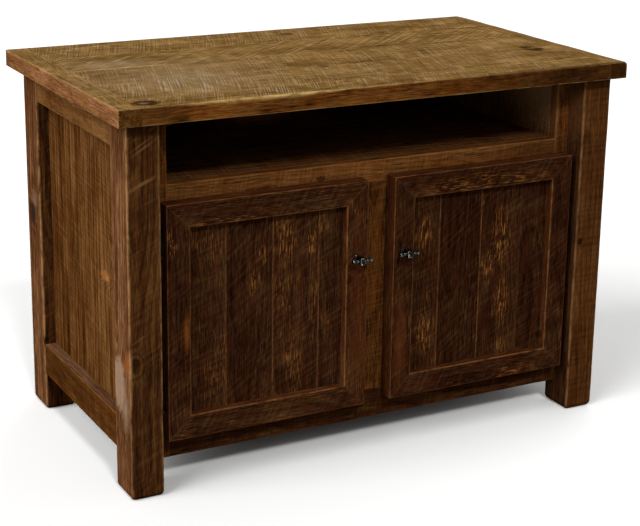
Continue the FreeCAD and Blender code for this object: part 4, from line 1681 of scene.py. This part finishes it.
@dataclass
class Door:
    """One mitred door with four upright boards.

    Attributes:
        hand: Which door.
        inner_ease: Radius of the frame's front edges round the boards, in millimetres.
        outer_ease: Radius of its other front edges.
        joint_eases: Radius of each board's edge at the joint to its left, from left to right.
        board_ease: Radius of each board's edge at the joint to its right.
        member_slant: Angle of the saw's marks on the frame, in degrees.
        member_tint: How much paler than usual the stain took on the frame.
        hinge_room: Room above and below a hinge in its notch.
        saw_slants: Angles of the saw's marks on the boards, in degrees, from left to right.
        tints: How much paler than usual each board is, from left to right.
        mitre_ease: Radius of the edges at the mitres.
        name: The door's name in the frame.
    """

    hand: Hand
    inner_ease: float = 1.5
    outer_ease: float = 0.7
    joint_eases: Sequence[float] = (0.9, 0.9, 0.9, 0.9)
    board_ease: float = 0.5
    member_slant: float = 32.0
    member_tint: float = 0.0
    hinge_room: float = 2.0
    saw_slants: Sequence[float] = (20.0, 38.0, 30.0, 24.0)
    tints: Sequence[float] = (0.02, -0.04, 0.1, 0.0)
    mitre_ease: float = 0.4
    name: str = field(init=False)

    def __post_init__(self) -> None:
        """Name the door as the frame does."""
        self.name = f"{self.hand.word}_door"

    def build(self, wood: bpy.types.Material) -> None:
        """Make the frame and the boards.

        Args:
            wood: The doors' finish.
        """
        members = (("hinge_stile", Axis.Z, -self.hand.value), ("meeting_stile", Axis.Z, self.hand.value),
                   ("top_rail", Axis.X, -1), ("bottom_rail", Axis.X, 1))
        joint = (self.mitre_ease,) * 4
        for word, along, mitre in members:
            node = f"{self.name}_{word}"
            low, high = (self.outer_ease, self.inner_ease)[::mitre]
            eases = Eases(low, high, start=joint, end=joint)
            member = Board(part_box(node), along, Axis.Y, -1, node, eases, mitre, self.member_slant,
                           tint=self.member_tint)
            notches = self.hinge_notches() if word == "hinge_stile" else []
            BoardWork(node, [member], notches).build(wood)
        stiles = [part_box(f"{self.name}_{word}") for word in ("hinge_stile", "meeting_stile")]
        left, right = sorted(stiles, key=lambda box: box[0].x)
        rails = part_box(f"{self.name}_bottom_rail")[1].z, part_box(f"{self.name}_top_rail")[0].z
        for index, slant in enumerate(self.saw_slants):
            node = f"{self.name}_board_{index + 1}"
            box = between(between(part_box(node), Axis.X, left[1].x, right[0].x), Axis.Z, *rails)
            eases = Eases(self.joint_eases[index], self.board_ease)
            board = Board(box, Axis.Z, Axis.Y, -1, node, eases, saw_slant=slant, tint=self.tints[index])
            BoardWork(node, [board]).build(wood)

    def hinge_notches(self) -> list[Box]:
        """Notches for the hinges in the outer edge of the hinge stile.

        Returns:
            Boxes to cut away.
        """
        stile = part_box(f"{self.name}_hinge_stile")
        notches = []
        for low, high in islands(f"{self.name}_hinge_leaves"):
            inner, outer = (high.x, stile[0].x - MM) if self.hand is Hand.LEFT else (low.x, stile[1].x + MM)
            room = self.hinge_room * MM
            notches.append((Vector((min(inner, outer), low.y, low.z - room)),
                            Vector((max(inner, outer), stile[1].y + MM, high.z + room))))
        return notches


@dataclass
class Knob:
    """A forged knob: a round foot, a stem, a square boss and a flared cross bar.

    Attributes:
        hand: Which door it is on.
        foot: Radius and place out from the door along the foot and the stem, in millimetres.
        bar: Radius and place out from the middle along half the cross bar.
        boss: Sizes of the boss.
        boss_ease: Width of the bevel on its edges.
        bar_reach: Distance of the bar's middle from the door.
        facet: Size of the hammer's facets.
        facet_depth: Depth of the facets in their middle.
        facet_fall: How fast that depth falls off, as a share for each facet's size.
        rub_gain: How bright the painted glints on the high spots are, for each voxel that they stand proud.
        rub_start: What is taken off that, so that flat places get no painted glint.
        voxel: Fineness of the skin.
        segments: Points round a turned form.
    """

    hand: Hand
    foot: Sequence[tuple[float, float]] = ((8.3, 0.1), (8.3, 1.1), (6.6, 2.4), (4.9, 3.4), (4.3, 5.5),
                                           (4.3, 15.0))
    bar: Sequence[tuple[float, float]] = ((3.5, 0.0), (3.5, 9.0), (3.8, 12.0), (4.6, 15.5), (5.1, 18.4),
                                          (4.7, 19.9), (3.4, 20.8))
    boss: Place = (11.6, 14.4, 14.6)
    boss_ease: float = 2.0
    bar_reach: float = 19.0
    facet: float = 4.2
    facet_depth: float = 0.45
    facet_fall: float = 1.4
    rub_gain: float = 14.0
    rub_start: float = 0.3
    voxel: float = 0.45
    segments: int = 24

    def build(self, iron: bpy.types.Material) -> None:
        """Make the knob.

        Args:
            iron: Its finish.
        """
        node = f"{self.hand.word}_door_knob"
        low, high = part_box(node)
        middle = (low + high) / 2
        face = Vector((middle.x, high.y, middle.z))
        centre = face - Vector((0, self.bar_reach * MM, 0))
        skin = bmesh.new()
        self.turned(skin, self.foot, face, Vector((0, -1, 0)))
        for side in (-1, 1):
            self.turned(skin, self.bar, centre, Vector((side, 0, 0)))
        placed = Matrix.Translation(centre) @ Matrix.Diagonal((*(size * MM for size in self.boss), 1.0))
        made = bmesh.ops.create_cube(skin, size=1.0, matrix=placed)
        edges = list({edge for vertex in made["verts"] for edge in vertex.link_edges})
        bmesh.ops.bevel(skin, geom=edges, offset=self.boss_ease * MM, segments=2, affect="EDGES", profile=0.5)
        mesh = bpy.data.meshes.new(f"{node}_iron")
        skin.to_mesh(mesh)
        skin.free()
        piece = bpy.data.objects.new(f"{node}_iron", self.hammered(mesh, low, high))
        piece.data.materials.append(iron)
        bpy.context.scene.collection.objects.link(piece)
        stand_for(piece, node)

    def turned(self, skin: bmesh.types.BMesh, profile: Sequence[tuple[float, float]], start: Vector,
               way: Vector) -> None:
        """Add a turned form with closed ends.

        Args:
            skin: Mesh that takes it.
            profile: Radius and place along the axis, in millimetres.
            start: Where the axis starts.
            way: Direction of the axis.
        """
        beside = way.orthogonal().normalized()
        above = way.cross(beside)
        rings = []
        for radius, place in profile:
            middle = start + way * place * MM
            ring = []
            for step in range(self.segments):
                angle = math.tau * step / self.segments
                ring.append(skin.verts.new(middle + (beside * math.cos(angle) + above * math.sin(angle))
                                           * radius * MM))
            rings.append(ring)
        for ring, following in zip(rings, rings[1:]):
            for step in range(self.segments):
                after = (step + 1) % self.segments
                skin.faces.new((ring[step], ring[after], following[after], following[step]))
        skin.faces.new(list(reversed(rings[0])))
        skin.faces.new(rings[-1])

    def hammered(self, mesh: bpy.types.Mesh, low: Vector, high: Vector) -> bpy.types.Mesh:
        """Weld the forms into one skin and beat facets into it.

        Args:
            mesh: The separate forms.
            low: Lowest corner that the knob may reach.
            high: Highest corner.

        Returns:
            The finished mesh.
        """
        blank = bpy.data.objects.new("knob_blank", mesh)
        bpy.context.scene.collection.objects.link(blank)
        weld = blank.modifiers.new("weld", "REMESH")
        weld.mode, weld.voxel_size = "VOXEL", self.voxel * MM
        soften = blank.modifiers.new("soften", "SMOOTH")
        soften.factor, soften.iterations = 0.5, 3
        evaluated = blank.evaluated_get(bpy.context.evaluated_depsgraph_get())
        forged = bpy.data.meshes.new_from_object(evaluated)
        forged.name = mesh.name
        bpy.data.objects.remove(blank)
        normals = [vertex.normal.copy() for vertex in forged.vertices]
        for vertex, normal in zip(forged.vertices, normals):
            nearest = noise.voronoi(vertex.co / (self.facet * MM))[0][0]
            depth = self.facet_depth * MM * max(0.0, 1 - nearest * self.facet_fall)
            moved = vertex.co - normal * depth
            vertex.co = Vector(min(max(value, least), most) for value, least, most in zip(moved, low, high))
        self.burnish(forged, high.y)
        forged.shade_smooth()
        return forged

    def burnish(self, mesh: bpy.types.Mesh, door: float) -> None:
        """Mark the high spots of the boss and the bar, which get painted glints.

        Args:
            mesh: Mesh of the knob.
            door: Where the door's face is, along Y.
        """
        skin = bmesh.new()
        skin.from_mesh(mesh)
        handled = []
        for vertex in skin.verts:
            around = [edge.other_vert(vertex).co for edge in vertex.link_edges]
            rise = (vertex.co - sum(around, Vector()) / len(around)).dot(vertex.normal) / (self.voxel * MM)
            within_reach = door - vertex.co.y > 0.5 * self.bar_reach * MM
            handled.append(min(1.0, max(0.0, rise * self.rub_gain - self.rub_start)) * within_reach)
        skin.free()
        mesh.attributes.new("handled", "FLOAT", "POINT").data.foreach_set("value", handled)


@dataclass
class Fittings:
    """Hinges, pins, screws, catches and strikes, which keep the meshes of the frame's nodes.

    Attributes:
        finishes: Finish of each material slot.
    """

    finishes: dict[str, Union[WorkedMetal, MouldedPlastic]] = field(default_factory=lambda: {
        "hinge_steel": BRONZED_STEEL, "screw_steel": ZINC_STEEL, "catch_plastic": CATCH_ACETAL})

    def build(self) -> None:
        """Give each fitting its finish."""
        materials = {slot: finish.material() for slot, finish in self.finishes.items()}
        for node, slot in SLOT_OF.items():
            if slot not in materials:
                continue
            for place in frame["nodes"][node].material_slots:
                place.material = materials[slot]
            LOG.info("%s keeps its own mesh, finished in %s", node, materials[slot].name)


@dataclass(frozen=True)
class Lamp:
    """A far soft lamp, so that the floor is lit evenly.

    Attributes:
        name: Its name.
        toward: Direction from the stand to the lamp.
        level: What a white face square to it renders as.
        spread: Angle that it fills, in degrees, which softens its shadows.
    """

    name: str
    toward: Place
    level: float
    spread: float

    def build(self) -> None:
        """Hang the lamp."""
        light = bpy.data.lights.new(self.name, "SUN")
        light.energy, light.angle = self.level * math.pi, math.radians(self.spread)
        lamp = bpy.data.objects.new(self.name, light)
        lamp.rotation_mode = "QUATERNION"
        lamp.rotation_quaternion = Vector(self.toward).to_track_quat("Z", "Y")
        bpy.context.scene.collection.objects.link(lamp)


@dataclass(frozen=True)
class Studio:
    """A white studio with soft light from the upper left.

    Attributes:
        lamps: The lamps.
        ambient: Level of the light from all round.
        floor_white: Hex colour of the floor to the eye.
        floor_bounce: Hex colour of the floor as the stand is lit by it.
        floor_reach: Half-width of the floor in metres.
    """

    lamps: tuple[Lamp, ...] = (Lamp("key", (-0.82, -0.16, 0.55), 0.98, 50.0),
                               Lamp("front", (-0.12, -0.72, 0.68), 0.42, 9.0),
                               Lamp("fill", (0.72, 0.48, 0.50), 0.35, 60.0))
    ambient: float = 0.3
    floor_white: str = "#f7f7f6"
    floor_bounce: str = "#8a8886"
    floor_reach: float = 40.0

    def build(self) -> None:
        """Make the floor, the world and the lamps."""
        self.floor()
        self.world()
        for lamp in self.lamps:
            lamp.build()

    @staticmethod
    def shown(tree: Tree) -> Socket:
        """Tell what is seen from what only lights.

        Args:
            tree: Node tree.

        Returns:
            1 on rays from the eye, a reflection or a refraction, and 0 on rays that only light.
        """
        path = add(tree, "LightPath").node.outputs
        seen = path["Is Camera Ray"]
        for ray in ("Is Glossy Ray", "Is Transmission Ray"):
            seen = add(tree, "Math", {0: seen, 1: path[ray]}, operation="MAXIMUM")
        return seen

    def floor(self) -> None:
        """Lay a matt white floor, too wide for its edge to show."""
        mesh = bpy.data.meshes.new("floor")
        reach = self.floor_reach
        corners = [(-reach, -reach, 0), (reach, -reach, 0), (reach, reach, 0), (-reach, reach, 0)]
        mesh.from_pydata(corners, [], [(0, 1, 2, 3)])
        material, tree = new_material("matt_white_floor_paint")
        colour = add(tree, "Mix", {0: self.shown(tree), 6: linear(self.floor_bounce),
                                   7: linear(self.floor_white)}, out=2, data_type="RGBA")
        shader = add(tree, "BsdfPrincipled", {"Base Color": colour, "Roughness": 0.9,
                                              "Specular IOR Level": 0.0})
        add(tree, "OutputMaterial", {"Surface": shader})
        mesh.materials.append(material)
        floor = bpy.data.objects.new("floor", mesh)
        bpy.context.scene.collection.objects.link(floor)

    def world(self) -> None:
        """Surround the stand with white to the eye and a lower light all round."""
        world = bpy.data.worlds.new("studio")
        world.use_nodes = True
        tree = world.node_tree
        tree.nodes.clear()
        strength = add(tree, "MapRange", {0: self.shown(tree), 3: self.ambient, 4: 1.0})
        sky = add(tree, "Background", {"Color": (1.0, 1.0, 1.0, 1.0), "Strength": strength})
        add(tree, "OutputWorld", {"Surface": sky})
        bpy.context.scene.world = world


@dataclass(frozen=True)
class PhotoCamera:
    """Camera at the photograph's viewing angle.

    Attributes:
        place: Where it stands, in metres.
        yaw: Angle to the right of straight ahead, in degrees.
        pitch: Angle below the horizon.
        roll: Angle of the camera's tilt to the left.
        lens: Focal length in millimetres on a 36 mm wide sensor.
        rise: Vertical shift, in image widths, that frames the stand as the photograph does.
    """

    place: Place = (-1.4795, -2.7801, 1.3159)
    yaw: float = 28.26
    pitch: float = 16.16
    roll: float = 0.86
    lens: float = 91.06
    rise: float = -0.075

    def build(self) -> None:
        """Set the camera up."""
        yaw, pitch, roll = (math.radians(angle) for angle in (self.yaw, self.pitch, self.roll))
        ahead = Vector((math.sin(yaw) * math.cos(pitch), math.cos(yaw) * math.cos(pitch), -math.sin(pitch)))
        level = Vector((math.cos(yaw), -math.sin(yaw), 0))
        upright = level.cross(ahead)
        right = level * math.cos(roll) + upright * math.sin(roll)
        above = upright * math.cos(roll) - level * math.sin(roll)
        data = bpy.data.cameras.new("photo_camera")
        data.lens, data.shift_y = self.lens, self.rise
        camera = bpy.data.objects.new("photo_camera", data)
        turned = Matrix((right, above, -ahead)).transposed().to_4x4()
        camera.matrix_world = Matrix.Translation(self.place) @ turned
        bpy.context.scene.collection.objects.link(camera)
        bpy.context.scene.camera = camera


def main() -> None:
    """Build the stand, then the studio round it and the camera."""
    logging.basicConfig(level=logging.INFO, format="%(message)s")
    for assembly in (Tabletop(), Posts(), SideFrames(), FaceFrame(), InnerBox(), BackPanel()):
        assembly.build()
    door_wood, iron = DOOR_PINE.material(), FORGED_IRON.material()
    for door in (Door(Hand.LEFT, tints=(0.1, -0.03, 0.1, 0.02)),
                 Door(Hand.RIGHT, tints=(0.0, -0.13, 0.0, -0.1), member_tint=-0.1,
                      joint_eases=(0.9, 0.9, 0.9, 0.3))):
        door.build(door_wood)
        Knob(door.hand).build(iron)
    Fittings().build()
    Studio().build()
    PhotoCamera().build()
    bpy.context.scene.view_settings.view_transform = "Standard"


if __name__ == "__main__":
    main()
